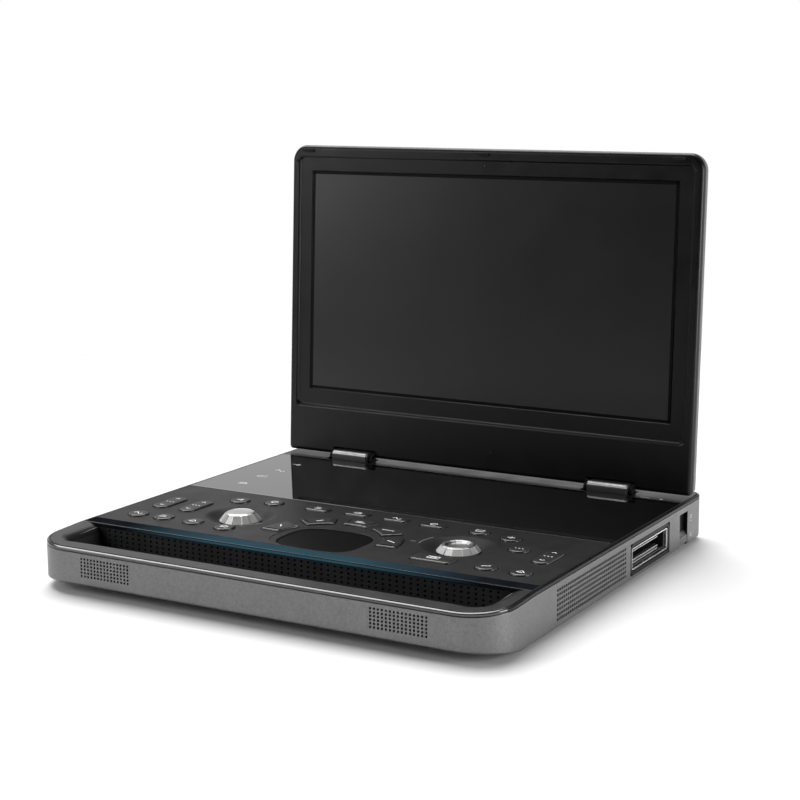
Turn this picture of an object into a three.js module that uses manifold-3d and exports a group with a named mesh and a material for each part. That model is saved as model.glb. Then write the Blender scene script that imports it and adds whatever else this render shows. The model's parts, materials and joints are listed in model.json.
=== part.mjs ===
// Portable ultrasound scanner: a laptop-style console with a carrying-handle slot in front of a control
// deck, and a display lid on two rear hinges.
// Millimetres. +X to the operator's right, +Y towards the hinges, +Z up.
// The origin lies on the standing surface, under the middle of the case.
//
// Pieces of the base are written in deck coordinates: y from the front face, z from the deck's top face.
// Pieces of the lid are written in lid coordinates: the hinge axis is the origin, z runs up the lid and
// y through its thickness, from the display side to the back.
import * as THREE from "three";
import { mergeVertices } from "three/addons/utils/BufferGeometryUtils.js";
import Module from "manifold-3d";

const wasm = await Module();
wasm.setup();

// ---- Driving dimensions ------------------------------------------------------------------------
const GAP = 0.3; // between pieces that touch
const CASE_W = 385.7;
const CASE_D = 373.4;
const CASE_BOTTOM = -35; // underside of the case, below the deck's top face
const FOOT_BOTTOM = -37.5;
const WALL = 2.6;
const CORNER = { front: 32, rear: 14 }; // plan corner radii
const CHAMFER = 1.2; // along the case's bottom edge
const TOE = { rise: 5.7, length: 38 }; // the underside rises towards the front edge
const LIP = 2.9; // thickness of the deck frame
const DECK_BODY = 4.6; // depth of the deck frame inside the walls
const FRONT_SLOPE = 0.04; // fall of the palm bar per millimetre, towards the front

const SLOT = { w: 349, y0: 14, y1: 58.3, floor: -28.5, frontR: 13, rearR: 3, wall: 2.4 };
const STRIP = { y0: 58.6, y1: 71.5 };
const PANEL = { w: 379, y0: 71.8, y1: 191.2, thick: 2.5 };
const GLASS = { y0: 191.5, y1: 327.9 };
const WINDOW = { w: 379.6, y1: 328.2, ledge: 5 };

const HINGE = { x: 123.2, y: 339.3, z: 0.6, len: 37, r: 7.7, bore: 3, pin: 2.7, notch: 44 };
const LID_TILT = THREE.MathUtils.degToRad(2.94); // backwards from upright, at rest
const LID = { front: 2.45, seam: 7.5, back: 14.45, z0: 1.2, z1: 274.35, topR: 14, bottomR: 4, skin: 2.15 };
const RECESS = { x: 184, z0: 44, z1: 263.8, floor: 4.45 }; // sunk field around the display
const SCREEN = { x: 172.1, z0: 58.5, z1: 252 }; // 15.6 inch, 16:9 active area

const KEY = { top: 1.3, bottom: -3.4, stemBottom: -6.6, clearance: 0.8, stem: 5 };
const KNOB = { dishR: 27, dishFloorR: 17.5, dishDepth: 4.6, facets: 14, shaft: 3.4, shaftHole: 4 };
const PAD = { x: 1, y: 101, w: 66, d: 54, top: -1.2, bottom: -8.5 };

const SOCKET = { y0: 219.8, y1: 297.2, z0: -30.3, z1: -8, inner: 165, back: 171 };
const SLIDER = { y0: 318.5, y1: 336, z0: -33, z1: -23.6, recessTop: -7.8, depth: 3.4 };
const PORTS = { y0: 252, y1: 324, z0: -27, z1: -10, inner: 170, depth: 12 };
const BATTERY = { x0: -160, x1: -15, y0: 80, y1: 180 };
const SINK = { x0: 170, x1: 187, y0: 97, y1: 206, z0: -28.6, z1: -12, fins: 12 };
const SPEAKER = { x: 122, halfW: 21, z0: -23, z1: -9.5, coneHalf: 17 };
const SWITCH_BOARD = { x: 182, y0: 76, y1: 187, z: -10.6 };
const MAIN_BOARD = { x0: -168, x1: 163, y0: 196, y1: 322, z: -24 };
const BOARD_THICK = 1.6;
const FAN = { x: 138, y: 152, w: 60, d: 68, z0: -31.5, z1: -12.5, bore: 25 };

// Cap outlines by kind of key; a ring key is a sector of the ring around the trackpad.
const ROUND_R = 7.8;
const CAP_SIZE = { rect: [20, 11, 2.5], wide: [32, 15, 3], rocker: [14, 34, 6.5] };
const RING = { inner: 42, outer: 58, halfAngle: 14 };

const KEYS = [
  ["key_round_1", "round", -165.6, 94],
  ["key_round_2", "round", -141.8, 95],
  ["key_round_3", "round", -113.6, 94.7],
  ["key_round_4", "round", -82.8, 92.2],
  ["key_round_5", "round", -120.4, 165.7],
  ["key_round_6", "round", -92, 172.2],
  ["key_round_7", "round", 91.9, 172.2],
  ["key_round_8", "round", 120.7, 166.4],
  ["key_round_9", "round", 138.8, 143],
  ["key_round_10", "round", 138.7, 92],
  ["key_round_11", "round", 166, 91],
  ["key_rect_1", "rect", -50.5, 172.5],
  ["key_rect_2", "rect", -15.5, 174.5],
  ["key_rect_3", "rect", 19.3, 174.5],
  ["key_rect_4", "rect", 52.6, 172.5],
  ["key_wide", "wide", 96.5, 93],
  ["key_rocker_1", "rocker", -166, 134],
  ["key_rocker_2", "rocker", -140.5, 134],
  ["key_rocker_3", "rocker", 166, 134],
];
const RING_ANGLES = [164, 127, 90, 53, 16]; // degrees about the trackpad's centre

// ---- Outlines ----------------------------------------------------------------------------------
// A rectangle whose corner radii are listed from (x0, y0), going round anticlockwise.
function roundedBox(x0, y0, x1, y1, radii) {
  const [a, b, c, d] = Array.isArray(radii) ? radii : [radii, radii, radii, radii];
  const s = new THREE.Shape();
  s.absarc(x0 + a, y0 + a, a, Math.PI, 1.5 * Math.PI);
  s.absarc(x1 - b, y0 + b, b, 1.5 * Math.PI, 2 * Math.PI);
  s.absarc(x1 - c, y1 - c, c, 0, 0.5 * Math.PI);
  s.absarc(x0 + d, y1 - d, d, 0.5 * Math.PI, Math.PI);
  return s;
}

function circle(x, y, r) {
  const s = new THREE.Shape();
  s.absarc(x, y, r, 0, 2 * Math.PI);
  return s;
}

function casePlan(inset) {
  const f = CORNER.front - inset;
  const r = CORNER.rear - inset;
  return roundedBox(-CASE_W / 2 + inset, inset, CASE_W / 2 - inset, CASE_D - inset, [f, f, r, r]);
}

function slotPlan(grow, y1 = SLOT.y1) {
  const f = SLOT.frontR + grow;
  const r = SLOT.rearR + grow;
  return roundedBox(-SLOT.w / 2 - grow, SLOT.y0 - grow, SLOT.w / 2 + grow, y1 + grow, [f, f, r, r]);
}

function lidOutline(inset, bottom = LID.z0 + inset) {
  const t = LID.topR - inset;
  const b = Math.max(LID.bottomR - inset, 1);
  return roundedBox(-CASE_W / 2 + inset, bottom, CASE_W / 2 - inset, LID.z1 - inset, [b, b, t, t]);
}

// A superellipse: the trackpad's squarish oval.
function squircle(cx, cy, w, d, steps = 36, power = 3.2) {
  const points = [];
  for (let i = 0; i < steps; i++) {
    const a = (2 * Math.PI * i) / steps;
    const c = Math.cos(a);
    const s = Math.sin(a);
    const x = Math.sign(c) * Math.abs(c) ** (2 / power);
    const y = Math.sign(s) * Math.abs(s) ** (2 / power);
    points.push(new THREE.Vector2(cx + (x * w) / 2, cy + (y * d) / 2));
  }
  return new THREE.Shape(points);
}

function ringSector(angle, grow) {
  const mid = THREE.MathUtils.degToRad(angle);
  const half = THREE.MathUtils.degToRad(RING.halfAngle) + grow / RING.outer;
  const s = new THREE.Shape();
  s.absarc(PAD.x, PAD.y, RING.outer + grow, mid - half, mid + half);
  s.absarc(PAD.x, PAD.y, RING.inner - grow, mid + half, mid - half, true);
  return s;
}

function keyOutline(kind, x, y, grow) {
  if (kind === "round") return circle(x, y, ROUND_R + grow);
  if (kind === "ring") return ringSector(x, grow);
  const [w, d, r] = CAP_SIZE[kind];
  return roundedBox(x - w / 2 - grow, y - d / 2 - grow, x + w / 2 + grow, y + d / 2 + grow, r + grow);
}

// ---- Solids ------------------------------------------------------------------------------------
const X = new THREE.Vector3(1, 0, 0);
const Y = new THREE.Vector3(0, 1, 0);
const Z = new THREE.Vector3(0, 0, 1);
const ALONG_X = new THREE.Matrix4().makeBasis(Y, Z, X); // outline (y, z), thickness along x
const ALONG_Y = new THREE.Matrix4().makeBasis(X, Z, Y.clone().negate()); // outline (x, z)

function solid(geometry) {
  const bare = geometry.index ? geometry.toNonIndexed() : geometry.clone();
  bare.deleteAttribute("normal");
  bare.deleteAttribute("uv");
  const merged = mergeVertices(bare, 1e-4);
  return new wasm.Manifold(
    new wasm.Mesh({
      numProp: 3,
      vertProperties: merged.attributes.position.array,
      triVerts: new Uint32Array(merged.index.array),
    }),
  );
}

function extrude(shape, depth, segments, bevel) {
  return new THREE.ExtrudeGeometry(shape, { depth, curveSegments: segments, bevelEnabled: false, ...bevel });
}

// Plates: the outline swept between two heights, in each of the three directions.
function plate(shape, z0, z1, segments = 6) {
  return solid(extrude(shape, z1 - z0, segments).translate(0, 0, z0));
}

function plateX(shape, x0, x1, segments = 6) {
  return solid(extrude(shape, x1 - x0, segments).translate(0, 0, x0).applyMatrix4(ALONG_X));
}

function plateY(shape, y0, y1, segments = 5) {
  return solid(extrude(shape, y1 - y0, segments).translate(0, 0, -y1).applyMatrix4(ALONG_Y));
}

function box(x0, x1, y0, y1, z0, z1) {
  const g = new THREE.BoxGeometry(x1 - x0, y1 - y0, z1 - z0);
  return solid(g.translate((x0 + x1) / 2, (y0 + y1) / 2, (z0 + z1) / 2));
}

function polygon(...points) {
  return new THREE.Shape(points.map(([a, b]) => new THREE.Vector2(a, b)));
}

function cylinderX(x0, x1, y, z, r, sides = 20) {
  const g = new THREE.CylinderGeometry(r, r, x1 - x0, sides).rotateZ(-Math.PI / 2);
  return solid(g.translate((x0 + x1) / 2, y, z));
}

// A turned solid: the profile's (radius, z) points start and end on the axis, from the bottom up.
function turned(x, y, profile, sides = 28) {
  const points = profile.map(([r, z]) => new THREE.Vector2(r, z));
  return solid(new THREE.LatheGeometry(points, sides).rotateX(Math.PI / 2).translate(x, y, 0));
}

function cut(body, ...tools) {
  return tools.reduce((left, tool) => left.subtract(tool), body);
}

function join(...bodies) {
  return bodies.reduce((all, body) => all.add(body));
}

// ---- Named meshes ------------------------------------------------------------------------------
const FINISH = {
  casePaint: { color: 0x77787a, roughness: 0.42, metalness: 0.35 },
  deckPlastic: { color: 0x2b2c2e, roughness: 0.6, metalness: 0 },
  glossBlack: { color: 0x08090a, roughness: 0.06, metalness: 0 },
  tealLight: { color: 0x1d4656, roughness: 0.15, metalness: 0 },
  lidPlastic: { color: 0x111213, roughness: 0.4, metalness: 0 },
  display: { color: 0x050506, roughness: 0.1, metalness: 0 },
  steel: { color: 0xb9babc, roughness: 0.3, metalness: 1 },
  rubber: { color: 0x161616, roughness: 0.85, metalness: 0 },
  board: { color: 0x0f4a2c, roughness: 0.5, metalness: 0 },
  darkPlastic: { color: 0x18191a, roughness: 0.55, metalness: 0 },
  aluminium: { color: 0xa4a6a8, roughness: 0.45, metalness: 1 },
};

function add(group, name, body, finish) {
  const { vertProperties, triVerts } = body.getMesh();
  const geometry = new THREE.BufferGeometry();
  geometry.setAttribute("position", new THREE.BufferAttribute(vertProperties, 3));
  geometry.setIndex(new THREE.BufferAttribute(triVerts, 1));
  geometry.computeVertexNormals();
  const mesh = new THREE.Mesh(geometry, new THREE.MeshStandardMaterial(FINISH[finish]));
  mesh.name = name;
  group.add(mesh);
}

const scanner = new THREE.Group();
const base = new THREE.Group();
base.position.set(0, -CASE_D / 2, -FOOT_BOTTOM);
scanner.add(base);
const lid = new THREE.Group();
lid.position.set(0, HINGE.y, HINGE.z);
lid.rotation.x = -LID_TILT;
base.add(lid);

// ---- Case --------------------------------------------------------------------------------------
// The tub's plan, chamfered along the bottom edge, up to well above the deck, with the toe cut away.
function tub(inset) {
  const bevel = {
    bevelEnabled: true,
    bevelThickness: CHAMFER,
    bevelSize: CHAMFER,
    bevelOffset: -CHAMFER,
    bevelSegments: 1,
  };
  const height = 45;
  const bottom = CASE_BOTTOM + inset;
  const g = extrude(casePlan(inset), height - 2 * CHAMFER, 7, bevel);
  const { rise, length } = TOE;
  const toe = polygon([-length, bottom + 2 * rise], [length, bottom], [length, -60], [-length, -60]);
  return cut(solid(g.translate(0, 0, bottom + CHAMFER)), plateX(toe, -CASE_W, CASE_W));
}

// Everything above the line from (y 58.3, z top) that falls towards the front with the palm bar.
function aboveDeckLine(top) {
  const fall = FRONT_SLOPE * (SLOT.y1 + 5);
  const line = polygon([-5, top - fall], [SLOT.y1, top], [CASE_D + 5, top], [CASE_D + 5, 20], [-5, 20]);
  return plateX(line, -CASE_W, CASE_W);
}

function bottomCase() {
  const sideX = CASE_W / 2;
  const slotRear = SLOT.y1 + 2; // leaves room for the grille plate in front of the wall
  const surround = plate(slotPlan(SLOT.wall, slotRear), -40, 20);
  const hollow = cut(tub(WALL), surround);
  const innerTop = plate(casePlan(WALL), -DECK_BODY - GAP, 20, 7);
  const behindSlot = box(-sideX, sideX, SLOT.y1, CASE_D, -20, 20);

  const slideBlock = box(184, sideX - WALL + 0.2, SLIDER.y0 - 3, SLIDER.y1 + 3, -33, -6);
  const shell = join(cut(tub(0), hollow, plate(slotPlan(0, slotRear), -50, 20)), slideBlock);

  return cut(
    shell,
    aboveDeckLine(-LIP - GAP),
    innerTop.intersect(behindSlot),
    box(-165, 165, slotRear - 1, slotRear + 4, -30, -8), // air window behind the grille
    box(BATTERY.x0, BATTERY.x1, BATTERY.y0, BATTERY.y1, -40, -31),
    box(180, 200, SOCKET.y0 - GAP, SOCKET.y1 + GAP, SOCKET.z0 - GAP, SOCKET.z1 + GAP),
    box(sideX - SLIDER.depth, 200, SLIDER.y0, SLIDER.y1, -40, SLIDER.recessTop),
    box(-200, -180, PORTS.y0 - GAP, PORTS.y1 + GAP, PORTS.z0 - GAP, PORTS.z1 + GAP),
  );
}

function deckFrame() {
  const fall = FRONT_SLOPE * SLOT.y1;
  const side = polygon(
    [0, -LIP - fall],
    [SLOT.y1, -LIP],
    [CASE_D, -LIP],
    [CASE_D, 0],
    [SLOT.y1, 0],
    [0, -fall],
  );
  const top = plateX(side, -CASE_W / 2, CASE_W / 2).intersect(plate(casePlan(0), -40, 5, 7));
  const inside = plate(casePlan(WALL + 2 * GAP), -DECK_BODY, -1, 7);
  const underTop = inside.intersect(box(-200, 200, SLOT.y1 + GAP, CASE_D, -10, -1));
  const halfW = WINDOW.w / 2;
  const ledge = WINDOW.ledge;
  const pocketHalf = HINGE.notch / 2 + 0.8;
  const pockets = [-HINGE.x, HINGE.x].map((x) =>
    box(x - pocketHalf, x + pocketHalf, HINGE.y - HINGE.r - 0.7, HINGE.y + HINGE.r + 0.9, -10, 5),
  );
  return cut(
    join(top, underTop),
    box(-halfW, halfW, SLOT.y1, WINDOW.y1, -PANEL.thick - GAP, 5),
    box(-halfW + ledge, halfW - ledge, STRIP.y1 - 5, WINDOW.y1 - ledge, -10, 5),
    plate(slotPlan(0), -20, 5),
    ...pockets,
  );
}

add(base, "bottom_case", bottomCase(), "casePaint");
add(base, "deck_frame", deckFrame(), "deckPlastic");

// The slot's rear grille and its floor are one moulding.
const slotFloor = plate(slotPlan(-GAP, SLOT.y1 + 2), SLOT.floor - 2.4, SLOT.floor);
const grille = box(-168, 168, SLOT.y1 + 0.3, SLOT.y1 + 1.7, SLOT.floor - 1, -DECK_BODY - GAP);
add(base, "handle_grille", join(slotFloor, grille), "darkPlastic");
const INSERTS = [
  ["light_strip", STRIP, "tealLight"],
  ["touch_glass", GLASS, "glossBlack"],
];
for (const [name, { y0, y1 }, finish] of INSERTS) {
  add(base, name, box(-PANEL.w / 2, PANEL.w / 2, y0, y1, -PANEL.thick, 0), finish);
}
const coverTop = CASE_BOTTOM + WALL;
add(
  base,
  "battery_cover",
  box(BATTERY.x0 + GAP, BATTERY.x1 - GAP, BATTERY.y0 + GAP, BATTERY.y1 - GAP, CASE_BOTTOM, coverTop),
  "casePaint",
);

const FOOT = { r: 9, x: 173, front: 76, rear: 347 };
for (const [side, x] of [["left", -FOOT.x], ["right", FOOT.x]]) {
  for (const [end, y] of [["front", FOOT.front], ["rear", FOOT.rear]]) {
    const top = CASE_BOTTOM - GAP;
    const profile = [[0, FOOT_BOTTOM], [FOOT.r - 1, FOOT_BOTTOM], [FOOT.r, top], [0, top]];
    add(base, `foot_${end}_${side}`, turned(x, y, profile, 20), "rubber");
  }
}

// ---- Control deck ------------------------------------------------------------------------------
const KNOBS = [
  { name: "knob_left", x: -94, y: 128.5, topR: 12.8, top: 3 },
  { name: "knob_right", x: 95.4, y: 132, topR: 12, top: 1.5 },
];
const RING_KEYS = RING_ANGLES.map((angle, i) => [`key_ring_${i + 1}`, "ring", angle, 0]);
const ALL_KEYS = [...KEYS, ...RING_KEYS];

function controlPanel() {
  const { dishR, dishFloorR, dishDepth, shaftHole } = KNOB;
  const wallUnder = 2.2;
  const bossBottom = -dishDepth - wallUnder;
  let panel = box(-PANEL.w / 2, PANEL.w / 2, PANEL.y0, PANEL.y1, -PANEL.thick, 0);
  for (const { x, y } of KNOBS) {
    const rim = dishR + 2;
    const boss = [[0, bossBottom], [dishFloorR + 1, bossBottom], [rim, -PANEL.thick], [rim, -1], [0, -1]];
    const dish = [[0, -dishDepth], [dishFloorR, -dishDepth], [dishR, 0], [dishR, 2], [0, 2]];
    const bore = [[0, -20], [shaftHole, -20], [shaftHole, 2], [0, 2]];
    panel = cut(join(panel, turned(x, y, boss)), turned(x, y, dish), turned(x, y, bore, 16));
  }
  const padHole = squircle(PAD.x, PAD.y, PAD.w + 2 * GAP, PAD.d + 2 * GAP);
  const holes = ALL_KEYS.map(([, kind, x, y]) => plate(keyOutline(kind, x, y, KEY.clearance), -10, 5, 4));
  return cut(panel, plate(padHole, -20, 5), ...holes);
}

// A cap with its plunger, which reaches down towards the switch board.
function keyCap(kind, x, y) {
  const cap = plate(keyOutline(kind, x, y, 0), KEY.bottom, KEY.top, kind === "round" ? 4 : 3);
  let [cx, cy] = [x, y];
  if (kind === "ring") {
    const angle = THREE.MathUtils.degToRad(x);
    const r = (RING.inner + RING.outer) / 2;
    cx = PAD.x + r * Math.cos(angle);
    cy = PAD.y + r * Math.sin(angle);
  }
  const half = KEY.stem / 2;
  return join(cap, box(cx - half, cx + half, cy - half, cy + half, KEY.stemBottom, KEY.bottom + 1));
}

// A faceted skirt tapering to the top, on a shaft that runs down through the panel.
function knob({ x, y, topR, top }) {
  const foot = -KNOB.dishDepth + GAP;
  const skirt = [[0, foot], [16.4, foot], [16.4, foot + 1], [topR, top - 0.6], [topR - 0.8, top], [0, top]];
  const shaft = [[0, -8.4], [KNOB.shaft, -8.4], [KNOB.shaft, foot + 1], [0, foot + 1]];
  return join(turned(x, y, skirt, KNOB.facets), turned(x, y, shaft, 16));
}

function board({ x0, x1, y0, y1, z }) {
  return box(x0, x1, y0, y1, z, z + BOARD_THICK);
}

add(base, "control_panel", controlPanel(), "deckPlastic");
for (const [name, kind, x, y] of ALL_KEYS) add(base, name, keyCap(kind, x, y), "deckPlastic");
for (const spec of KNOBS) add(base, spec.name, knob(spec), "steel");
add(base, "trackpad", plate(squircle(PAD.x, PAD.y, PAD.w, PAD.d), PAD.bottom, PAD.top), "glossBlack");
add(base, "switch_board", board({ x0: -SWITCH_BOARD.x, x1: SWITCH_BOARD.x, ...SWITCH_BOARD }), "board");

// ---- Right side: probe socket and its lock -----------------------------------------------------
function probeSocket() {
  const block = box(SOCKET.inner, CASE_W / 2, SOCKET.y0, SOCKET.y1, SOCKET.z0, SOCKET.z1);
  return cut(block, box(SOCKET.back, 200, 223, 293, -28.4, -10.5));
}

function socketContacts() {
  const x0 = SOCKET.back + GAP;
  const backPlate = box(x0, x0 + 2.5, 225, 279, -25.5, -11.5);
  const rows = [-14, -23].map((z) => box(x0 + 2, x0 + 13, 226, 277, z - 1.3, z + 1.3));
  return join(backPlate, ...rows);
}

function lockSlider() {
  const face = CASE_W / 2 - 0.2;
  const y0 = SLIDER.y0 + 0.5;
  const y1 = SLIDER.y1 - 0.5;
  const tab = box(face - 2.8, face, y0, y1, SLIDER.z0, SLIDER.z1);
  const grips = [-30.5, -28.5, -26.5].map((z) => box(face - 0.8, face + 1, y0 + 2, y1 - 2, z - 0.4, z + 0.4));
  return cut(tab, ...grips);
}

add(base, "probe_socket", probeSocket(), "steel");
add(base, "socket_contacts", socketContacts(), "darkPlastic");
add(base, "lock_slider", lockSlider(), "casePaint");

// ---- Left side: power inlet, two USB sockets and a network socket ------------------------------
function portBlock() {
  const outer = -CASE_W / 2;
  const mouth = outer + PORTS.depth;
  const inlet = cylinderX(outer - 5, mouth, 262, -18.5, 4);
  const usb = [280, 297].map((y) => box(outer - 5, mouth, y - 6.8, y + 6.8, -21.5, -15.5));
  const network = box(outer - 5, mouth, 308.5, 320.5, -24, -13);
  return cut(box(outer, -PORTS.inner, PORTS.y0, PORTS.y1, PORTS.z0, PORTS.z1), inlet, ...usb, network);
}

add(base, "port_block", portBlock(), "darkPlastic");

// ---- Inside the case ---------------------------------------------------------------------------
function fanHousing() {
  const { x, y, w, d, z0, z1, bore } = FAN;
  const well = [[0, z0 + 2], [bore, z0 + 2], [bore, z1 - 2], [0, z1 - 2]];
  const inlet = [[0, z1 - 3], [18, z1 - 3], [18, z1 + 1], [0, z1 + 1]];
  const block = box(x - w / 2, x + w / 2, y - d / 2, y + d / 2, z0, z1);
  const outlet = box(x, x + w, y - 18, y + 28, z0 + 2, z1 - 2);
  return cut(block, turned(x, y, well), turned(x, y, inlet, 20), outlet);
}

function fanImpeller() {
  const { x, y, z0, z1 } = FAN;
  const [low, high] = [z0 + 3, z1 - 3];
  const blades = 9;
  let wheel = turned(x, y, [[0, low], [9, low], [9, high], [0, high]], 18);
  for (let i = 0; i < blades; i++) {
    const blade = new THREE.BoxGeometry(16, 1.2, high - low - 2).translate(15, 0, (low + high) / 2);
    wheel = join(wheel, solid(blade.rotateZ((2 * Math.PI * i) / blades).translate(x, y, 0)));
  }
  return wheel;
}

function heatSink() {
  const { x0, x1, y0, y1, z0, z1, fins } = SINK;
  let sink = box(x0, x1, y0, y1, z0, z0 + 2.6);
  for (let i = 0; i < fins; i++) {
    const y = y0 + 1 + ((y1 - y0 - 2) * i) / (fins - 1);
    sink = join(sink, box(x0, x1, y - 0.6, y + 0.6, z0 + 2, z1));
  }
  return sink;
}

function speaker(x) {
  const { halfW, z0, z1, coneHalf } = SPEAKER;
  const frame = box(x - halfW, x + halfW, WALL + GAP, SLOT.y0 - SLOT.wall - GAP, z0, z1);
  return cut(frame, box(x - coneHalf, x + coneHalf, WALL, WALL + 2.5, z0 + 2.5, z1 - 2.5));
}

add(base, "main_board", board(MAIN_BOARD), "board");
add(base, "battery_pack", box(-157, -18, 83, 177, -31.9, -13), "darkPlastic");
add(base, "fan_housing", fanHousing(), "darkPlastic");
add(base, "fan_impeller", fanImpeller(), "darkPlastic");
add(base, "heat_sink", heatSink(), "aluminium");
add(base, "speaker_left", speaker(-SPEAKER.x), "darkPlastic");
add(base, "speaker_right", speaker(SPEAKER.x), "darkPlastic");

// ---- Hinges ------------------------------------------------------------------------------------
// The barrel is fixed to the case: a cover with a foot, bored for the pin.
function hingeBarrel(x) {
  const half = HINGE.len / 2;
  const cover = cylinderX(x - half, x + half, HINGE.y, HINGE.z, HINGE.r, 24);
  const foot = box(x - half, x + half, HINGE.y - 5, HINGE.y + 5, -14, HINGE.z);
  return cut(join(cover, foot), cylinderX(x - 30, x + 30, HINGE.y, HINGE.z, HINGE.bore));
}

// The leaf is fixed in the lid: a plate with two ears, and the pin between them.
function hingeLeaf(x) {
  const ear = new THREE.Shape();
  ear.absarc(0, 0, 4.2, 0.75 * Math.PI, 2 * Math.PI);
  for (const [y, z] of [[8.5, 9], [8.5, 17], [6.5, 17], [6.5, 9.1]]) ear.lineTo(y, z);
  const earAt = (x0) => plateX(ear, x0, x0 + 2.4);
  const inner = HINGE.len / 2 + 0.5;
  const leaf = box(x - 26, x + 26, 6.5, 8.5, 13, 38);
  return join(leaf, earAt(x + inner), earAt(x - inner - 2.4), cylinderX(x - 21, x + 21, 0, 0, HINGE.pin));
}

// ---- Lid ---------------------------------------------------------------------------------------
// The underside rises towards the back, so the lid can lean back without meeting the deck.
function lidCuts() {
  const rise = (LID.back - LID.front) * 0.53;
  const past = 3;
  const under = polygon(
    [LID.front, LID.z0],
    [LID.front, -past],
    [LID.back + past, -past],
    [LID.back + past, LID.z0 + rise + past * 0.53],
  );
  const half = HINGE.notch / 2;
  const notches = [-HINGE.x, HINGE.x].map((x) => box(x - half, x + half, -5, 20, -5, 9.4));
  return [plateX(under, -CASE_W, CASE_W), ...notches];
}

function hingeBays(y0, y1) {
  return [-HINGE.x, HINGE.x].map((x) => box(x - 30, x + 30, y0, y1, 9, 14));
}

function lidBezel() {
  const field = roundedBox(-RECESS.x, RECESS.z0, RECESS.x, RECESS.z1, 4);
  const behind = RECESS.floor + 1.6;
  return cut(
    plateY(lidOutline(0), LID.front, LID.seam),
    plateY(field, 0, RECESS.floor),
    plateY(lidOutline(2.2, 11), behind, 20),
    box(-SCREEN.x, SCREEN.x, 0, 20, SCREEN.z0, SCREEN.z1),
    ...hingeBays(behind, 20),
    ...lidCuts(),
  );
}

function lidRearCover() {
  return cut(
    plateY(lidOutline(0), LID.seam + GAP, LID.back),
    plateY(lidOutline(2.2, 11), 0, LID.back - LID.skin),
    ...hingeBays(0, LID.back - LID.skin),
    ...lidCuts(),
  );
}

function lcdPanel() {
  const border = 4;
  const face = box(
    -SCREEN.x + GAP,
    SCREEN.x - GAP,
    RECESS.floor + 0.4,
    RECESS.floor + 3,
    SCREEN.z0 + GAP,
    SCREEN.z1 - GAP,
  );
  const back = RECESS.floor + 1.6 + GAP;
  const halfW = SCREEN.x + border;
  const body = box(-halfW, halfW, back, back + 4, SCREEN.z0 - border, SCREEN.z1 + border);
  return join(body, face);
}

// Rubber buffers along the top rim, which meet the light strip when the lid is shut.
function bumper(x0, x1) {
  return box(x0, x1, -0.2, LID.front - GAP, 268.4, 271.2);
}

for (const [side, x] of [["left", -HINGE.x], ["right", HINGE.x]]) {
  add(base, `hinge_barrel_${side}`, hingeBarrel(x), "casePaint");
  add(lid, `hinge_leaf_${side}`, hingeLeaf(x), "steel");
}
add(lid, "lid_bezel", lidBezel(), "lidPlastic");
add(lid, "lid_rear_cover", lidRearCover(), "casePaint");
add(lid, "lcd_panel", lcdPanel(), "display");
add(lid, "bumper_left", bumper(-181, -170), "rubber");
add(lid, "bumper_middle", bumper(-7, 3.4), "rubber");
add(lid, "bumper_right", bumper(167, 177.5), "rubber");

export default scanner;
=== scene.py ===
import json
import math

import bmesh
import bpy
from mathutils import Matrix, Vector
from mathutils.geometry import tessellate_polygon


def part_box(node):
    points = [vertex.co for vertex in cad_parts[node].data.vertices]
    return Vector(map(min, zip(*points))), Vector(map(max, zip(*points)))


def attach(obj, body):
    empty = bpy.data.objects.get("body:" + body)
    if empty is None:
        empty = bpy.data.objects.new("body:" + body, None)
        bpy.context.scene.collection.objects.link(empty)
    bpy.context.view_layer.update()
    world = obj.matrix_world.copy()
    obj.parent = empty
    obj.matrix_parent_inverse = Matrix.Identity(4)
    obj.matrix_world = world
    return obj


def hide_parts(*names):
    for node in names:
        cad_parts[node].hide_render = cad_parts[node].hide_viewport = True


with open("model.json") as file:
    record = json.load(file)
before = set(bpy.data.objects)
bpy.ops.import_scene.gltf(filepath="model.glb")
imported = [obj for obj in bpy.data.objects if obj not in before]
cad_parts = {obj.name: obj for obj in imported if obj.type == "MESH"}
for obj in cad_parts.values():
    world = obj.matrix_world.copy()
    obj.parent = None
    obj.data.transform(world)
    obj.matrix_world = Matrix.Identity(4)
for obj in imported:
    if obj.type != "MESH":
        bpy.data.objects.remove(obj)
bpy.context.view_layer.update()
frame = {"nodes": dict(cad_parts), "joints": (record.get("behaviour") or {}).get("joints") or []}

# ---- Places taken from the frame ---------------------------------------------------------------
MM = 0.001
LID_TILT = math.radians(2.94)
HINGE_AXIS = next(j for j in frame["joints"] if j["name"] == "lid_hinge")["pos_m"]
DECK_LOW, DECK_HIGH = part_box("deck_frame")


def plane(place, x, y, z):
    """A drawing plane in place, with the directions that its x, y and z take there."""
    return place @ Matrix((x, y, z)).transposed().to_4x4()


DECK = Matrix.Translation((0, DECK_LOW.y, DECK_HIGH.z)) @ Matrix.Scale(MM, 4)
LID = Matrix.Translation(HINGE_AXIS) @ Matrix.Rotation(-LID_TILT, 4, "X") @ Matrix.Scale(MM, 4)
LID_FACE = plane(LID, (1, 0, 0), (0, 0, 1), (0, -1, 0))
RIGHT = plane(DECK, (0, 1, 0), (0, 0, 1), (1, 0, 0))
LEFT = plane(DECK, (0, -1, 0), (0, 0, 1), (-1, 0, 0))


def deck_box(node):
    """Lowest and highest corner of a CAD node, on the deck."""
    to_deck = DECK.inverted()
    low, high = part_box(node)
    return to_deck @ low, to_deck @ high


def middle(node):
    low, high = deck_box(node)
    return (low + high) / 2


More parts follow.
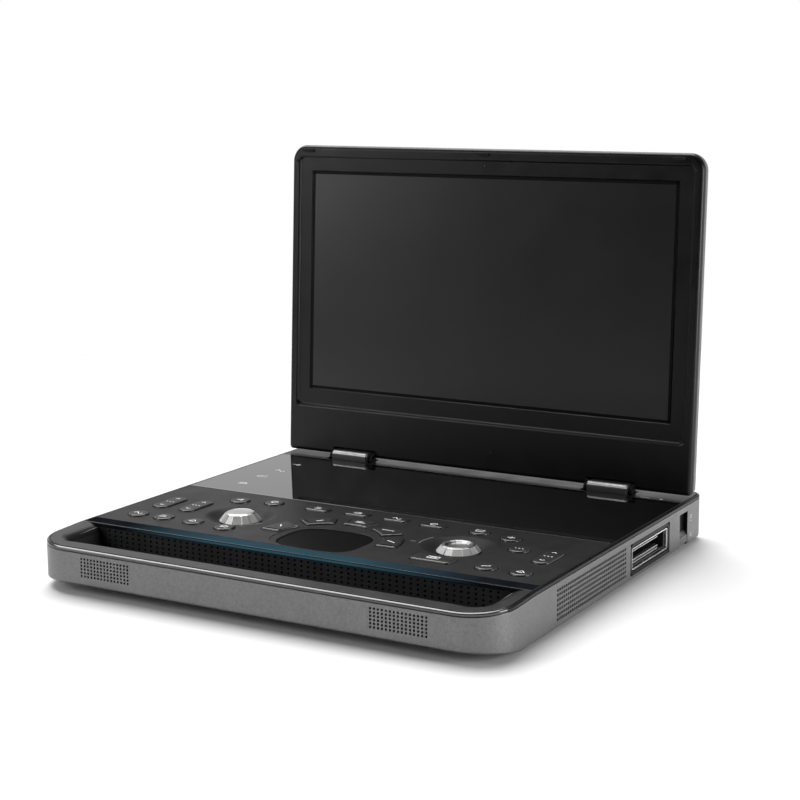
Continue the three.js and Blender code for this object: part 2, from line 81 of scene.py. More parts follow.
CASE_LOW, CASE_HIGH = deck_box("bottom_case")
HALF_W = CASE_HIGH.x
DEPTH = CASE_HIGH.y
BOTTOM = CASE_LOW.z
STRIP_LOW = deck_box("light_strip")[0]
GRILLE_HIGH = deck_box("handle_grille")[1]
SOCKET_LOW, SOCKET_HIGH = deck_box("probe_socket")
SLIDER_LOW, SLIDER_HIGH = deck_box("lock_slider")
PORTS_LOW, PORTS_HIGH = deck_box("port_block")
BATTERY_LOW, BATTERY_HIGH = deck_box("battery_cover")
HINGE_BARRELS = ("hinge_barrel_left", "hinge_barrel_right")
PAD = middle("trackpad")

# ---- Dimensions of the looks -------------------------------------------------------------------
WALL = 2.6
CORNER_FRONT = 32.0
CORNER_REAR = 14.0
PALM_SLOPE = 0.04            # fall of the palm bar towards the front
SLOT_REAR = 58.3
SLOT_HALF = 174.5
SLOT_FRONT = 14.0
SLOT_CORNER = 13.0
SLOT_FLOOR = -28.5
GRILLE_FRONT = 58.6
RECESS_TOP = -7.8            # the lock slider's recess in the right wall
RECESS_DEPTH = 3.4
WINDOW_HALF = 189.8          # the deck frame's opening for the panel, the strip and the glass
WINDOW_REAR = 328.2
TOE_RISE = 5.7
TOE_LENGTH = 38.0
RING_INNER = 42.0
RING_OUTER = 58.0
RING_HALF_ANGLE = 14.0
RING_ANGLES = (164, 127, 90, 53, 16)
KEY_GAP = 0.5
KEY_BOTTOM = -3.4


# ---- Outlines ----------------------------------------------------------------------------------
def arc(cx, cy, r, start, end, steps):
    """Points on an arc, angles in degrees, both ends included."""
    turns = [math.radians(start + (end - start) * i / steps) for i in range(steps + 1)]
    return [(cx + r * math.cos(a), cy + r * math.sin(a)) for a in turns]


def rounded(x0, y0, x1, y1, radii, steps=8):
    """A rectangle with round corners, anticlockwise; radii is one number, or four from (x0, y0) on."""
    a, b, c, d = radii if isinstance(radii, tuple) else (radii,) * 4
    return (arc(x0 + a, y0 + a, a, 180, 270, steps) + arc(x1 - b, y0 + b, b, 270, 360, steps)
            + arc(x1 - c, y1 - c, c, 0, 90, steps) + arc(x0 + d, y1 - d, d, 90, 180, steps))


def circle(cx, cy, r, steps=40):
    return arc(cx, cy, r, 0, 360, steps)[:-1]


def squircle(cx, cy, w, d, steps=72, power=3.2):
    points = []
    for i in range(steps):
        a = 2 * math.pi * i / steps
        x = math.copysign(abs(math.cos(a)) ** (2 / power), math.cos(a))
        y = math.copysign(abs(math.sin(a)) ** (2 / power), math.sin(a))
        points.append((cx + x * w / 2, cy + y * d / 2))
    return points


def inset(outline, d):
    """The outline moved inwards by d, or outwards where d is negative, point for point."""
    moved = []
    for i, (x, y) in enumerate(outline):
        before = Vector((x, y)) - Vector(outline[i - 1])
        after = Vector(outline[(i + 1) % len(outline)]) - Vector((x, y))
        before.normalize()
        after.normalize()
        across = Vector((-before.y - after.y, before.x + after.x))
        reach = max(across.length / 2, 0.35)
        across.normalize()
        moved.append((x + across.x * d / reach, y + across.y * d / reach))
    return moved


def lifted(outline, z):
    """Outline points at height z, which may be a function of (x, y)."""
    return [(x, y, z(x, y) if callable(z) else z) for x, y in outline]


def rings_of(outline, profile):
    """The outline at each (inset, z) of the profile in turn."""
    return [lifted(inset(outline, d), z) for d, z in profile]


def softened(corners, r, steps):
    """A polygon with each corner cut back by r and rounded."""
    points = []
    for i, corner in enumerate(corners):
        here = Vector(corner)
        back = (Vector(corners[i - 1]) - here).normalized() * r
        on = (Vector(corners[(i + 1) % len(corners)]) - here).normalized() * r
        for k in range(steps + 1):
            t = k / steps
            p = (here + back) * (1 - t) ** 2 + here * 2 * t * (1 - t) + (here + on) * t ** 2
            points.append((p.x, p.y))
    return points


def sector(angle, grow=0.0):
    """A ring key: a piece of the ring around the trackpad."""
    half = RING_HALF_ANGLE + math.degrees(grow / RING_OUTER)
    outer = arc(PAD.x, PAD.y, RING_OUTER + grow, angle - half, angle + half, 4)
    inner = arc(PAD.x, PAD.y, RING_INNER - grow, angle + half, angle - half, 4)
    return softened(outer + inner, 1.1, 3)


def case_plan(*splits):
    """The case's outline, with points added on its straight sides at each y of splits, given in order."""
    radii = (CORNER_FRONT, CORNER_FRONT, CORNER_REAR, CORNER_REAR)
    points = rounded(-HALF_W, 0, HALF_W, DEPTH, radii, 14)
    full = []
    for i, here in enumerate(points):
        full.append(here)
        rise = points[(i + 1) % len(points)][1] - here[1]
        if abs(rise) > DEPTH / 2:
            full += [(here[0], y) for y in (splits if rise > 0 else reversed(splits))]
    return full


def palm_fall(y):
    """Height of the deck's top face at y: level behind the handle slot, falling to the front."""
    return -PALM_SLOPE * max(SLOT_REAR - y, 0)


def below_top(drop):
    return lambda x, y: palm_fall(y) - drop


def above_bottom(rise):
    """A height over the underside, which rises near the front edge."""
    return lambda x, y: BOTTOM + TOE_RISE * max(1 - y / TOE_LENGTH, 0) + rise


# ---- Mesh building -----------------------------------------------------------------------------
class Skin:
    """Faces under construction. mat is the number of the material that the next faces take."""

    def __init__(self):
        self.points = []
        self.faces = []
        self.marks = []
        self.mat = 0

    def ring(self, points):
        first = len(self.points)
        self.points += [tuple(p) for p in points]
        return list(range(first, len(self.points)))

    def face(self, corners):
        self.faces.append(list(corners))
        self.marks.append(self.mat)

    def bridge(self, a, b):
        for i in range(len(a)):
            j = (i + 1) % len(a)
            self.face([a[i], a[j], b[j], b[i]])

    def sweep(self, rings):
        """Walls through the rings in turn; returns the first and the last ring's points."""
        made = [self.ring(r) for r in rings]
        for a, b in zip(made, made[1:]):
            self.bridge(a, b)
        return made[0], made[-1]

    def fill(self, *loops):
        """A flat face bounded by the first loop, with the other loops as holes."""
        ids = [i for loop in loops for i in loop]
        corners = [[Vector(self.points[i]) for i in loop] for loop in loops]
        for triangle in tessellate_polygon(corners):
            self.face([ids[i] for i in triangle])

    def closed(self, rings):
        """A body through the rings in turn, flat at both ends."""
        first, last = self.sweep(rings)
        self.fill(first)
        self.fill(last)

    def solid(self, outline, profile):
        """A closed body: the outline at each (inset, z) of the profile."""
        self.closed(rings_of(outline, profile))

    def hoop(self, outline, profile):
        """A band around the outline: a section of (inset, z) points joined end to end."""
        first, last = self.sweep(rings_of(outline, profile))
        self.bridge(last, first)

    def block(self, low, high, soft=0.3):
        """A box with softened edges along z."""
        x0, y0, z0 = low
        x1, y1, z1 = high
        base = rounded(x0, y0, x1, y1, min(soft * 2, (x1 - x0) / 3, (y1 - y0) / 3), 3)
        self.solid(base, [(soft, z0), (0, z0 + soft), (0, z1 - soft), (soft, z1)])

    def tube(self, path, r, sides=8):
        """A round bar along straight or bent centre points, closed at both ends."""
        rings = []
        for i, p in enumerate(path):
            here = Vector(p)
            along = (Vector(path[min(i + 1, len(path) - 1)]) - Vector(path[max(i - 1, 0)])).normalized()
            side = along.orthogonal().normalized()
            up = along.cross(side)
            turns = [2 * math.pi * k / sides for k in range(sides)]
            rings.append([here + (side * math.cos(t) + up * math.sin(t)) * r for t in turns])
        self.closed(rings)


def mesh_object(name, skin, place=DECK, sharp=32):
    mesh = bpy.data.meshes.new(name)
    mesh.from_pydata([place @ Vector(p) for p in skin.points], [], skin.faces)
    for polygon, mark in zip(mesh.polygons, skin.marks):
        polygon.material_index = mark
    obj = bpy.data.objects.new(name, mesh)
    bpy.context.scene.collection.objects.link(obj)
    shade(mesh, sharp)
    return obj


def shade(mesh, sharp):
    """Welds the mesh, turns its faces outwards and marks the edges above the angle as sharp."""
    bm = bmesh.new()
    bm.from_mesh(mesh)
    bmesh.ops.remove_doubles(bm, verts=bm.verts, dist=2e-6)
    bmesh.ops.dissolve_degenerate(bm, edges=bm.edges, dist=1e-7)
    bmesh.ops.recalc_face_normals(bm, faces=bm.faces)
    for face in bm.faces:
        face.smooth = True
    for edge in bm.edges:
        edge.smooth = len(edge.link_faces) == 2 and edge.calc_face_angle(0) < math.radians(sharp)
    bm.to_mesh(mesh)
    bm.free()


def carve(obj, *cutters, sharp=32):
    """Cuts the cutters out of obj, for good, and removes them."""
    for tool in cutters:
        step = obj.modifiers.new("cut", "BOOLEAN")
        step.operation = "DIFFERENCE"
        step.solver = "EXACT"
        step.object = tool
    bpy.context.view_layer.update()
    graph = bpy.context.evaluated_depsgraph_get()
    carved = bpy.data.meshes.new_from_object(obj.evaluated_get(graph))
    obj.modifiers.clear()
    obj.data = carved
    for tool in cutters:
        bpy.data.objects.remove(tool)
    shade(carved, sharp)


def cutter(outline, z0, z1, place=DECK):
    """A straight-sided tool for carve."""
    skin = Skin()
    skin.solid(outline, [(0, z0), (0, z1)])
    return mesh_object("cutter", skin, place)


def box_cutter(x0, x1, y0, y1, z0, z1):
    return cutter([(x0, y0), (x1, y0), (x1, y1), (x0, y1)], z0, z1)


def finish_piece(obj, body, materials, nodes=()):
    """Gives a piece its materials, the body it rides on, and the CAD nodes it stands for."""
    polygons = obj.data.polygons
    marks = [polygon.material_index for polygon in polygons]
    obj.data.materials.clear()
    for material in materials:
        obj.data.materials.append(material)
    polygons.foreach_set("material_index", marks)
    obj.modifiers.new("weighted_normals", "WEIGHTED_NORMAL").keep_sharp = True
    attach(obj, body)
    if nodes:
        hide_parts(*nodes)


def piece(name, skin, body, materials, nodes=(), place=DECK, sharp=32):
    finish_piece(mesh_object(name, skin, place, sharp), body, materials, nodes)


# ---- Materials ---------------------------------------------------------------------------------
def feed(tree, node, sockets):
    """Each input of the node named in sockets: an output is linked to it, anything else is its value."""
    for name, value in sockets.items():
        if isinstance(value, bpy.types.NodeSocket):
            tree.links.new(value, node.inputs[name])
        else:
            node.inputs[name].default_value = value


def add_node(tree, kind, sockets=None, **settings):
    node = tree.nodes.new(kind)
    for key, value in settings.items():
        setattr(node, key, value)
    feed(tree, node, sockets or {})
    return node


class Finish:
    """A node material: a Principled shader with noise in object space for grain, mottle and bump."""

    def __init__(self, name, color, roughness, metallic=0.0, ior=1.5, specular=0.5):
        self.material = bpy.data.materials.new(name)
        self.material.use_nodes = True
        self.tree = self.material.node_tree
        self.place = self.add("ShaderNodeTexCoord").outputs["Object"]
        self.color = color
        self.roughness = roughness
        self.surface({"Base Color": (*color, 1), "Roughness": roughness, "Metallic": metallic, "IOR": ior,
                      "Specular IOR Level": specular})

    def add(self, kind, sockets=None, **settings):
        return add_node(self.tree, kind, sockets, **settings)

    def surface(self, sockets):
        """Sets or links inputs of the shader itself."""
        feed(self.tree, self.tree.nodes["Principled BSDF"], sockets)
        return self

    def noise(self, scale, detail=2.0, stretch=None):
        """A noise field with features of about 1/scale metres, drawn out along an axis if asked."""
        place = self.place
        if stretch:
            place = self.add("ShaderNodeMapping", {"Vector": place, "Scale": stretch}).outputs["Vector"]
        field = self.add("ShaderNodeTexNoise", {"Vector": place, "Scale": scale, "Detail": detail})
        return field.outputs["Fac"]

    def ramp(self, field, low, high, a, b):
        """Maps the field from low..high to the colours a..b."""
        node = self.add("ShaderNodeValToRGB", {"Fac": field})
        for stop, position, color in zip(node.color_ramp.elements, (low, high), (a, b)):
            stop.position = position
            stop.color = (*color, 1)
        return node.outputs["Color"]

    def vary(self, field, low, high, amount):
        """Colour that follows the field, by the share amount on either side."""
        dark = [c * (1 - amount) for c in self.color]
        light = [min(c * (1 + amount), 1) for c in self.color]
        return self.surface({"Base Color": self.ramp(field, low, high, dark, light)})

    def mottle(self, scale, amount, detail=3.0, stretch=None):
        return self.vary(self.noise(scale, detail, stretch), 0.3, 0.7, amount)

    def smudges(self, scale, amount):
        """Roughness that varies slowly, as handled surfaces do."""
        limits = {"From Min": 0.3, "From Max": 0.7, "To Min": max(self.roughness - amount, 0.02),
                  "To Max": self.roughness + amount}
        spread = self.add("ShaderNodeMapRange", {"Value": self.noise(scale, 4.0), **limits})
        return self.surface({"Roughness": spread.outputs["Result"]})

    def relief(self, field, height, strength):
        """Bump from the field, with its height in metres."""
        bump = self.add("ShaderNodeBump", {"Height": field, "Strength": strength, "Distance": height})
        return self.surface({"Normal": bump.outputs["Normal"]})

    def grain(self, scale, height, strength, detail=2.0, stretch=None):
        return self.relief(self.noise(scale, detail, stretch), height, strength)


def metallic_paint(name, color, roughness):
    """Flake paint: small cells of lighter and darker metal under a satin surface."""
    paint = Finish(name, color, roughness, metallic=0.75)
    cells = paint.add("ShaderNodeTexVoronoi", {"Vector": paint.place, "Scale": 1900})
    pick = paint.add("ShaderNodeSeparateColor", {"Color": cells.outputs["Color"]})
    flakes = {0: pick.outputs["Red"], 1: 0.55, 2: paint.noise(420, 4.0)}
    both = paint.add("ShaderNodeMath", flakes, operation="MULTIPLY_ADD")
    paint.vary(both.outputs["Value"], 0.35, 1.0, 0.16)
    return paint.smudges(60, 0.04).grain(1500, 0.00004, 0.5).material


def moulded_plastic(name, color, roughness, grain=1400, height=0.00003, specular=0.5):
    """Spark-eroded plastic: fine pimples, faint cloudiness and worn patches."""
    plastic = Finish(name, color, roughness, specular=specular)
    return plastic.mottle(90, 0.12).smudges(45, 0.05).grain(grain, height, 0.6).material


def gloss_plastic(name, color, roughness, specular):
    return Finish(name, color, roughness, specular=specular).mottle(60, 0.2).smudges(50, 0.03).material


def gloss_glass(name, color, roughness=0.04):
    """Black-backed glass with a faint film of handling on it."""
    return Finish(name, color, roughness, ior=1.52).mottle(30, 0.2).smudges(25, 0.015).material


def brushed_metal(name, color, roughness, stretch):
    """Metal brushed along the axis that stretch leaves long."""
    metal = Finish(name, color, roughness, metallic=1.0)
    metal.mottle(700, 0.07, 3.0, stretch)
    return metal.smudges(80, 0.04).grain(900, 0.000012, 0.6, 3.0, stretch).material


def turned_metal(name, color, roughness, center):
    """Metal with the fine rings that a lathe leaves about a centre, in metres."""
    metal = Finish(name, color, roughness, metallic=1.0)
    from_center = {0: metal.place, 1: (center.x, center.y, 0)}
    shift = metal.add("ShaderNodeVectorMath", from_center, operation="SUBTRACT")
    level = {0: shift.outputs["Vector"], 1: (1, 1, 0)}
    flat = metal.add("ShaderNodeVectorMath", level, operation="MULTIPLY")
    waves = {"Vector": flat.outputs["Vector"], "Scale": 900, "Distortion": 0.6}
    rings = metal.add("ShaderNodeTexWave", waves, wave_type="RINGS", rings_direction="SPHERICAL")
    metal.relief(rings.outputs["Fac"], 0.00002, 0.25)
    return metal.mottle(300, 0.06).smudges(90, 0.04).material


def rubber(name, color):
    return Finish(name, color, 0.8, specular=0.3).mottle(160, 0.25).grain(900, 0.00008, 0.7).material


def strip_light(name):
    """Glossless black strip whose middle glows a dim teal and fades out at both ends."""
    strip = Finish(name, (0.006, 0.007, 0.008), 0.6, specular=0.0)
    split = strip.add("ShaderNodeSeparateXYZ", {"Vector": strip.place})
    start, end = [corner.x * MM for corner in deck_box("light_strip")]
    length = {"Value": split.outputs["X"], "From Min": start, "From Max": end}
    along = strip.add("ShaderNodeMapRange", length)
    glow = strip.add("ShaderNodeValToRGB", {"Fac": along.outputs["Result"]})
    black = (0.002, 0.003, 0.004, 1)
    teal = (0.027, 0.083, 0.113, 1)
    stops = glow.color_ramp.elements
    for stop, position in zip(stops, (0.1, 0.9)):
        stop.position = position
        stop.color = black
    for position, color in ((0.2, (0.016, 0.045, 0.062, 1)), (0.33, teal), (0.62, teal),
                            (0.8, (0.012, 0.03, 0.045, 1))):
        stops.new(position).color = color
    cloudy = strip.ramp(strip.noise(55, 3.0), 0.3, 0.7, (0.004, 0.005, 0.006), (0.008, 0.009, 0.011))
    strip.surface({"Base Color": cloudy, "Emission Color": glow.outputs["Color"], "Emission Strength": 0.8})
    return strip.grain(1100, 0.00001, 0.4).material


def legend_ink(name, color):
    return Finish(name, color, 0.5).mottle(800, 0.12).grain(1200, 0.00001, 0.4).material


def circuit_board(name):
    green = (0.01, 0.075, 0.035)
    board = Finish(name, green, 0.45)
    traces = board.add("ShaderNodeTexBrick", {
        "Vector": board.place, "Scale": 160, "Mortar Size": 0.05, "Color1": (*green, 1),
        "Color2": (0.008, 0.06, 0.03, 1), "Mortar": (0.03, 0.16, 0.08, 1),
    })
    board.surface({"Base Color": traces.outputs["Color"]})
    return board.smudges(70, 0.06).grain(600, 0.00004, 0.5).material


PAINT = metallic_paint("grey_flake_paint", (0.17, 0.17, 0.17), 0.4)
DECK_PLASTIC = moulded_plastic("deck_soft_touch", (0.02, 0.02, 0.0205), 0.44, specular=0.06)
PALM_PLASTIC = moulded_plastic("palm_bar_satin", (0.016, 0.016, 0.0165), 0.34, specular=0.22)
KEY_PLASTIC = moulded_plastic("key_satin", (0.024, 0.024, 0.0245), 0.3, 1700, 0.00002, 0.7)
KEY_TOP = moulded_plastic("key_top_matt", (0.018, 0.018, 0.0185), 0.4, 1700, 0.00002, 0.14)
BEZEL_PLASTIC = moulded_plastic("bezel_satin", (0.004, 0.004, 0.0042), 0.35, 1500, 0.00003, 0.3)
BLACK_PLASTIC = moulded_plastic("inner_black", (0.012, 0.012, 0.013), 0.5)
LINER_PLASTIC = moulded_plastic("slot_liner", (0.03, 0.0305, 0.032), 0.45)
TRIM_GLOSS = gloss_plastic("trim_gloss", (0.02, 0.02, 0.02), 0.16, 1.0)
# A darker, matt copy of the trim's material for the bead's sides: painted shade.
TRIM_SIDES_PAINTED_SHADE = moulded_plastic("trim_sides_painted_shade", (0.005, 0.005, 0.005), 0.3, specular=0.25)
SURROUND_GLOSS = gloss_plastic("surround_gloss", (0.004, 0.004, 0.004), 0.4, 0.2)
GLASS = gloss_glass("touch_glass_black", (0.004, 0.004, 0.0045))
PAD_GLASS = moulded_plastic("trackpad_satin", (0.0025, 0.0025, 0.0028), 0.45, 1800, 0.00001, 0.02)
SCREEN = gloss_glass("screen_dark", (0.003, 0.003, 0.0032), 0.31)
SCREEN_BORDER = moulded_plastic("screen_border", (0.002, 0.002, 0.002), 0.45, specular=0.1)
SATIN_METAL = brushed_metal("satin_aluminium", (0.66, 0.66, 0.65), 0.45, (1, 1, 12))
SOCKET_METAL = brushed_metal("plated_frame", (0.72, 0.72, 0.73), 0.26, (1, 0.1, 1))
# Lit and shaded copies of one brushed metal for the hinge covers: the top's brightness is painted highlight,
# the front's darkness is painted shade.
HINGE_TOP_PAINTED_LIGHT = brushed_metal("hinge_satin", (0.55, 0.55, 0.552), 0.46, (0.08, 1, 1))
HINGE_PLASTIC = moulded_plastic("hinge_knuckle", (0.03, 0.03, 0.0305), 0.5, specular=0.12)
HINGE_FRONT_PAINTED_SHADE = brushed_metal("hinge_front_painted_shade", (0.12, 0.12, 0.121), 0.5, (0.08, 1, 1))
STRIP_EDGE_METAL = brushed_metal("strip_edge", (0.09, 0.09, 0.092), 0.42, (0.08, 1, 1))
LEAF_METAL = brushed_metal("blackened_steel", (0.012, 0.012, 0.0125), 0.5, (0.1, 1, 1))
STEEL = brushed_metal("hinge_steel", (0.42, 0.42, 0.43), 0.32, (0.1, 1, 1))
GOLD = brushed_metal("contact_plating", (0.5, 0.48, 0.44), 0.3, (1, 0.1, 1))
FIN_METAL = brushed_metal("fin_aluminium", (0.45, 0.455, 0.46), 0.4, (1, 0.2, 1))
RUBBER = rubber("black_rubber", (0.012, 0.012, 0.012))
STRIP_LIGHT = strip_light("teal_strip")
INK = legend_ink("legend_ink", (0.8, 0.8, 0.8))
DIM_INK = legend_ink("legend_dim", (0.2, 0.205, 0.21))
BOARD = circuit_board("circuit_board")


# ---- Camera, floor and light -------------------------------------------------------------------
CAMERA_PLACE = (0.6700, -1.1179, 0.3719)
CAMERA_TURN = 29.06          # degrees about the upright, looking towards the rear left
CAMERA_DIP = 9.33            # degrees below the horizon
CAMERA_ROLL = -0.11


def add_object(name, data):
    obj = bpy.data.objects.new(name, data)
    bpy.context.scene.collection.objects.link(obj)
    return obj


def make_camera():
    data = bpy.data.cameras.new("camera")
    data.lens = 77.79
    data.sensor_width = 36
    data.shift_x = -0.0481
    data.shift_y = -0.05
    camera = add_object("camera", data)
    turn = Matrix.Rotation(math.radians(CAMERA_TURN), 4, "Z")
    tilt = Matrix.Rotation(math.radians(90 - CAMERA_DIP), 4, "X")
    roll = Matrix.Rotation(math.radians(CAMERA_ROLL), 4, "Z")
    camera.matrix_world = Matrix.Translation(CAMERA_PLACE) @ turn @ tilt @ roll
    bpy.context.scene.camera = camera


def make_floor():
    skin = Skin()
    skin.fill(skin.ring(lifted(circle(0, 0, 1100, 96), 0)))
    floor = mesh_object("floor", skin, Matrix.Scale(MM, 4))
    pale = Finish("pale_floor", (0.9, 0.9, 0.9), 0.9, specular=0.0).mottle(2, 0.01)
    floor.data.materials.append(pale.material)


def softbox(name, place, aim, size, watts):
    data = bpy.data.lights.new(name, "AREA")
    data.shape = "RECTANGLE"
    data.size, data.size_y = size
    data.energy = watts
    light = add_object(name, data)
    light.location = place
    light.rotation_euler = (Vector(aim) - Vector(place)).to_track_quat("-Z", "Y").to_euler()


def overhead_light(strength, spread, travel):
    """An even, very broad light from above; spread is its angle in degrees."""
    data = bpy.data.lights.new("overhead", "SUN")
    data.energy = strength
    data.angle = math.radians(spread)
    light = add_object("overhead", data)
    light.rotation_euler = Vector(travel).to_track_quat("-Z", "Y").to_euler()


def make_studio():
    """White backdrop low behind the object, a darker room in front, and soft lights."""
    scene = bpy.context.scene
    scene.view_settings.view_transform = "Standard"
    world = bpy.data.worlds.new("studio")
    scene.world = world
    world.use_nodes = True
    tree = world.node_tree
    direction = add_node(tree, "ShaderNodeTexCoord").outputs["Generated"]
    split = add_node(tree, "ShaderNodeSeparateXYZ", {"Vector": direction})

    def spread(axis, low, high, start, end):
        limits = {"From Min": low, "From Max": high, "To Min": start, "To Max": end}
        node = add_node(tree, "ShaderNodeMapRange", {"Value": split.outputs[axis], **limits},
                        interpolation_type="SMOOTHSTEP")
        return node.outputs["Result"]

    shares = {0: spread("Y", -0.45, 0.5, 0.03, 1.0), 1: spread("Z", 0.27, 0.38, 1.0, 0.2)}
    both = add_node(tree, "ShaderNodeMath", shares, operation="MULTIPLY")
    backdrop = tree.nodes["Background"]
    feed(tree, backdrop, {"Color": both.outputs["Value"]})
    white = add_node(tree, "ShaderNodeBackground", {"Color": (1, 1, 1, 1)})
    seen = add_node(tree, "ShaderNodeLightPath").outputs["Is Camera Ray"]
    mix = add_node(tree, "ShaderNodeMixShader", {"Fac": seen, 1: backdrop.outputs["Background"],
                                                 2: white.outputs["Background"]})
    feed(tree, tree.nodes["World Output"], {"Surface": mix.outputs["Shader"]})
    overhead_light(3.65, 52, (0.38, -0.32, -0.87))
    softbox("upper_softbox", (-1.1, -1.25, 1.05), (-0.05, 0, 0.1), (0.7, 0.7), 6)
    softbox("left_softbox", (-1.3, -1.15, 0.5), (-0.05, 0, 0.15), (0.6, 0.6), 3.6)
    softbox("right_softbox", (1.6, 0.1, 0.35), (0.15, 0, 0.05), (0.5, 0.8), 13)


make_camera()
make_floor()
make_studio()


# ---- Case --------------------------------------------------------------------------------------
HOLE_SIDES = 12
NEAR = 1e-6


def perforated(name, corner, across, counts, pitch, r, material=PAINT, thick=1.6,
               nodes=()):
    """An upright plate of square cells with a round hole each. across runs to the right, seen from
    outside; corner is the lower left corner of the outer face."""
    across = Vector(across)
    up = Vector((0, 0, 1))
    inward = -across.cross(up) * thick
    half = Vector(pitch) / 2
    turns = [2 * math.pi * (k + 0.5) / HOLE_SIDES for k in range(HOLE_SIDES)]
    turns += [math.atan2(sy * half.y, sx * half.x) % (2 * math.pi) for sx in (1, -1) for sy in (1, -1)]
    turns.sort()

    def on_square(t):
        c, s = math.cos(t), math.sin(t)
        reach = min(half.x / max(abs(c), 1e-9), half.y / max(abs(s), 1e-9))
        return c * reach, s * reach

    square = [on_square(t) for t in turns]
    rim, hole = ([(radius * math.cos(t), radius * math.sin(t)) for t in turns] for radius in (r + 0.12, r))
    skin = Skin()
    for i in range(counts[0]):
        for j in range(counts[1]):
            at = Vector(corner) + across * pitch[0] * (i + 0.5) + up * pitch[1] * (j + 0.5)
            section = [(square, 0), (rim, 0), (hole, 0.1), (hole, 1), (square, 1)]
            front, back = skin.sweep([[at + across * x + up * y + inward * depth for x, y in shape]
                                      for shape, depth in section])
            borders = [
                (i == 0, lambda p: p[0] < NEAR - half.x),
                (i == counts[0] - 1, lambda p: p[0] > half.x - NEAR),
                (j == 0, lambda p: p[1] < NEAR - half.y),
                (j == counts[1] - 1, lambda p: p[1] > half.y - NEAR),
            ]
            for on_border, touches in borders:
                for m in range(len(turns)):
                    if on_border and touches(square[m - 1]) and touches(square[m]):
                        skin.face([front[m - 1], front[m], back[m], back[m - 1]])
    piece(name, skin, "base", [material], nodes, sharp=25)


VENT_PITCH = (3.42, 3.42)
VENT_HOLE_R = 1.22
SPEAKER_PITCH = (3.02, 2.55)
SPEAKER_HOLE_R = 0.82
HANDLE_PITCH = (5.6, 3.55)
HANDLE_COUNTS = (60, 7)
HANDLE_HOLE_R = 0.88
# name: side the plate faces, start along that side, lower edge, holes across and up
VENTS = {
    "vent_right": ((0, 1, 0), 91.5, -30.9, (35, 7)),
    "vent_left": ((0, -1, 0), 110.0, -26, (24, 5)),
    "vent_rear": ((-1, 0, 0), -61.56, -24.0, (36, 4)),
}
SPEAKERS = ("speaker_left", "speaker_right")
SPEAKER_COUNTS = (15, 6)
SPEAKER_LOW = -23.3


def vent_opening(name):
    """Lowest and highest corner of a vent's hole in the wall, through which its plate shows."""
    across, start, low, counts = VENTS[name]
    end = start + VENT_PITCH[0] * counts[0]
    high = low + VENT_PITCH[1] * counts[1]
    if across[0]:
        return (start, DEPTH - 5, low), (end, DEPTH + 5, high)
    wall = HALF_W * across[1]
    return (wall - 5, start, low), (wall + 5, end, high)


def speaker_start(node):
    return middle(node).x - SPEAKER_PITCH[0] * SPEAKER_COUNTS[0] / 2


def split_fill(skin, ring, y):
    """Fills a ring whose face bends along a line at y: two flat faces, one on each side."""
    behind = {i: skin.points[i][1] >= y for i in ring}
    start = next(k for k in range(len(ring)) if behind[ring[k]] and not behind[ring[k - 1]])
    order = ring[start:] + ring[:start]
    rear = [i for i in order if behind[i]]
    skin.face(rear)
    skin.face([rear[-1]] + [i for i in order if not behind[i]] + [rear[0]])


def case_outer():
    """The tub's outside: round lower edge, and a top edge that follows the lip."""
    levels = [(3.0, below_top(3.2)), (0.35, below_top(3.2)), (0.1, below_top(3.32)), (0, below_top(3.6)),
              (0, above_bottom(1.7)), (0.18, above_bottom(0.9)), (0.75, above_bottom(0.25)),
              (1.7, above_bottom(0))]
    skin = Skin()
    first, last = skin.sweep(rings_of(case_plan(TOE_LENGTH, SLOT_REAR), levels))
    split_fill(skin, first, SLOT_REAR)
    split_fill(skin, last, TOE_LENGTH)
    return mesh_object("bottom_case_shell", skin)


def slot_outline(grow, y1):
    corner = SLOT_CORNER + grow
    half = SLOT_HALF + grow
    return rounded(-half, SLOT_FRONT - grow, half, y1, (corner, corner, 0.6, 0.6), 10)


def slot_path():
    """The handle slot's wall from its left rear end, along the front, to its right rear end, with the
    outward direction at each point."""
    half, r = SLOT_HALF, SLOT_CORNER
    rear = SLOT_REAR + 4
    side = [SLOT_FRONT + r + (rear - SLOT_FRONT - r) * i / 10 for i in range(1, 11)]
    front = [(-half + r) + (2 * (half - r)) * i / 24 for i in range(1, 24)]
    path = [((-half, y), (-1, 0)) for y in reversed(side)]
    for cx, start in ((-half + r, 180), (half - r, 270)):
        corner = arc(cx, SLOT_FRONT + r, r, start, start + 90, 12)
        path += [(p, ((p[0] - cx) / r, (p[1] - SLOT_FRONT - r) / r)) for p in corner]
        if start == 180:
            path += [((x, SLOT_FRONT), (0, -1)) for x in front]
    return path + [((half, y), (1, 0)) for y in side]


def scoop(x, y):
    """Width and depth of the rounding between the palm bar and the slot: broad at the slot's ends."""
    t = min(max((abs(x) - SLOT_HALF + 17) / 15, 0), 1)
    end = t * t * (3 - 2 * t)
    width = 1.1 + end * (3.5 + 9.8 * (y - SLOT_FRONT) / (SLOT_REAR - SLOT_FRONT))
    return width, 0.9 + end * 6.3


def slot_plug():
    """The space that the handle slot takes out of the deck frame."""
    path = slot_path()

    def level(out, down, above=0.0):
        ring = []
        for (x, y), (nx, ny) in path:
            width, depth = scoop(x, y)
            ring.append((x + nx * width * out, y + ny * width * out, palm_fall(y) - depth * down + above))
        return ring

    turns = [math.radians(10 + 10 * step) for step in range(9)]
    rings = [level(1.03, 0, 0.8)] + [level(1 - math.sin(t), 1 - math.cos(t)) for t in turns]
    skin = Skin()
    skin.closed(rings + [[(x, y, -25) for (x, y), _ in path]])
    return mesh_object("cutter", skin)


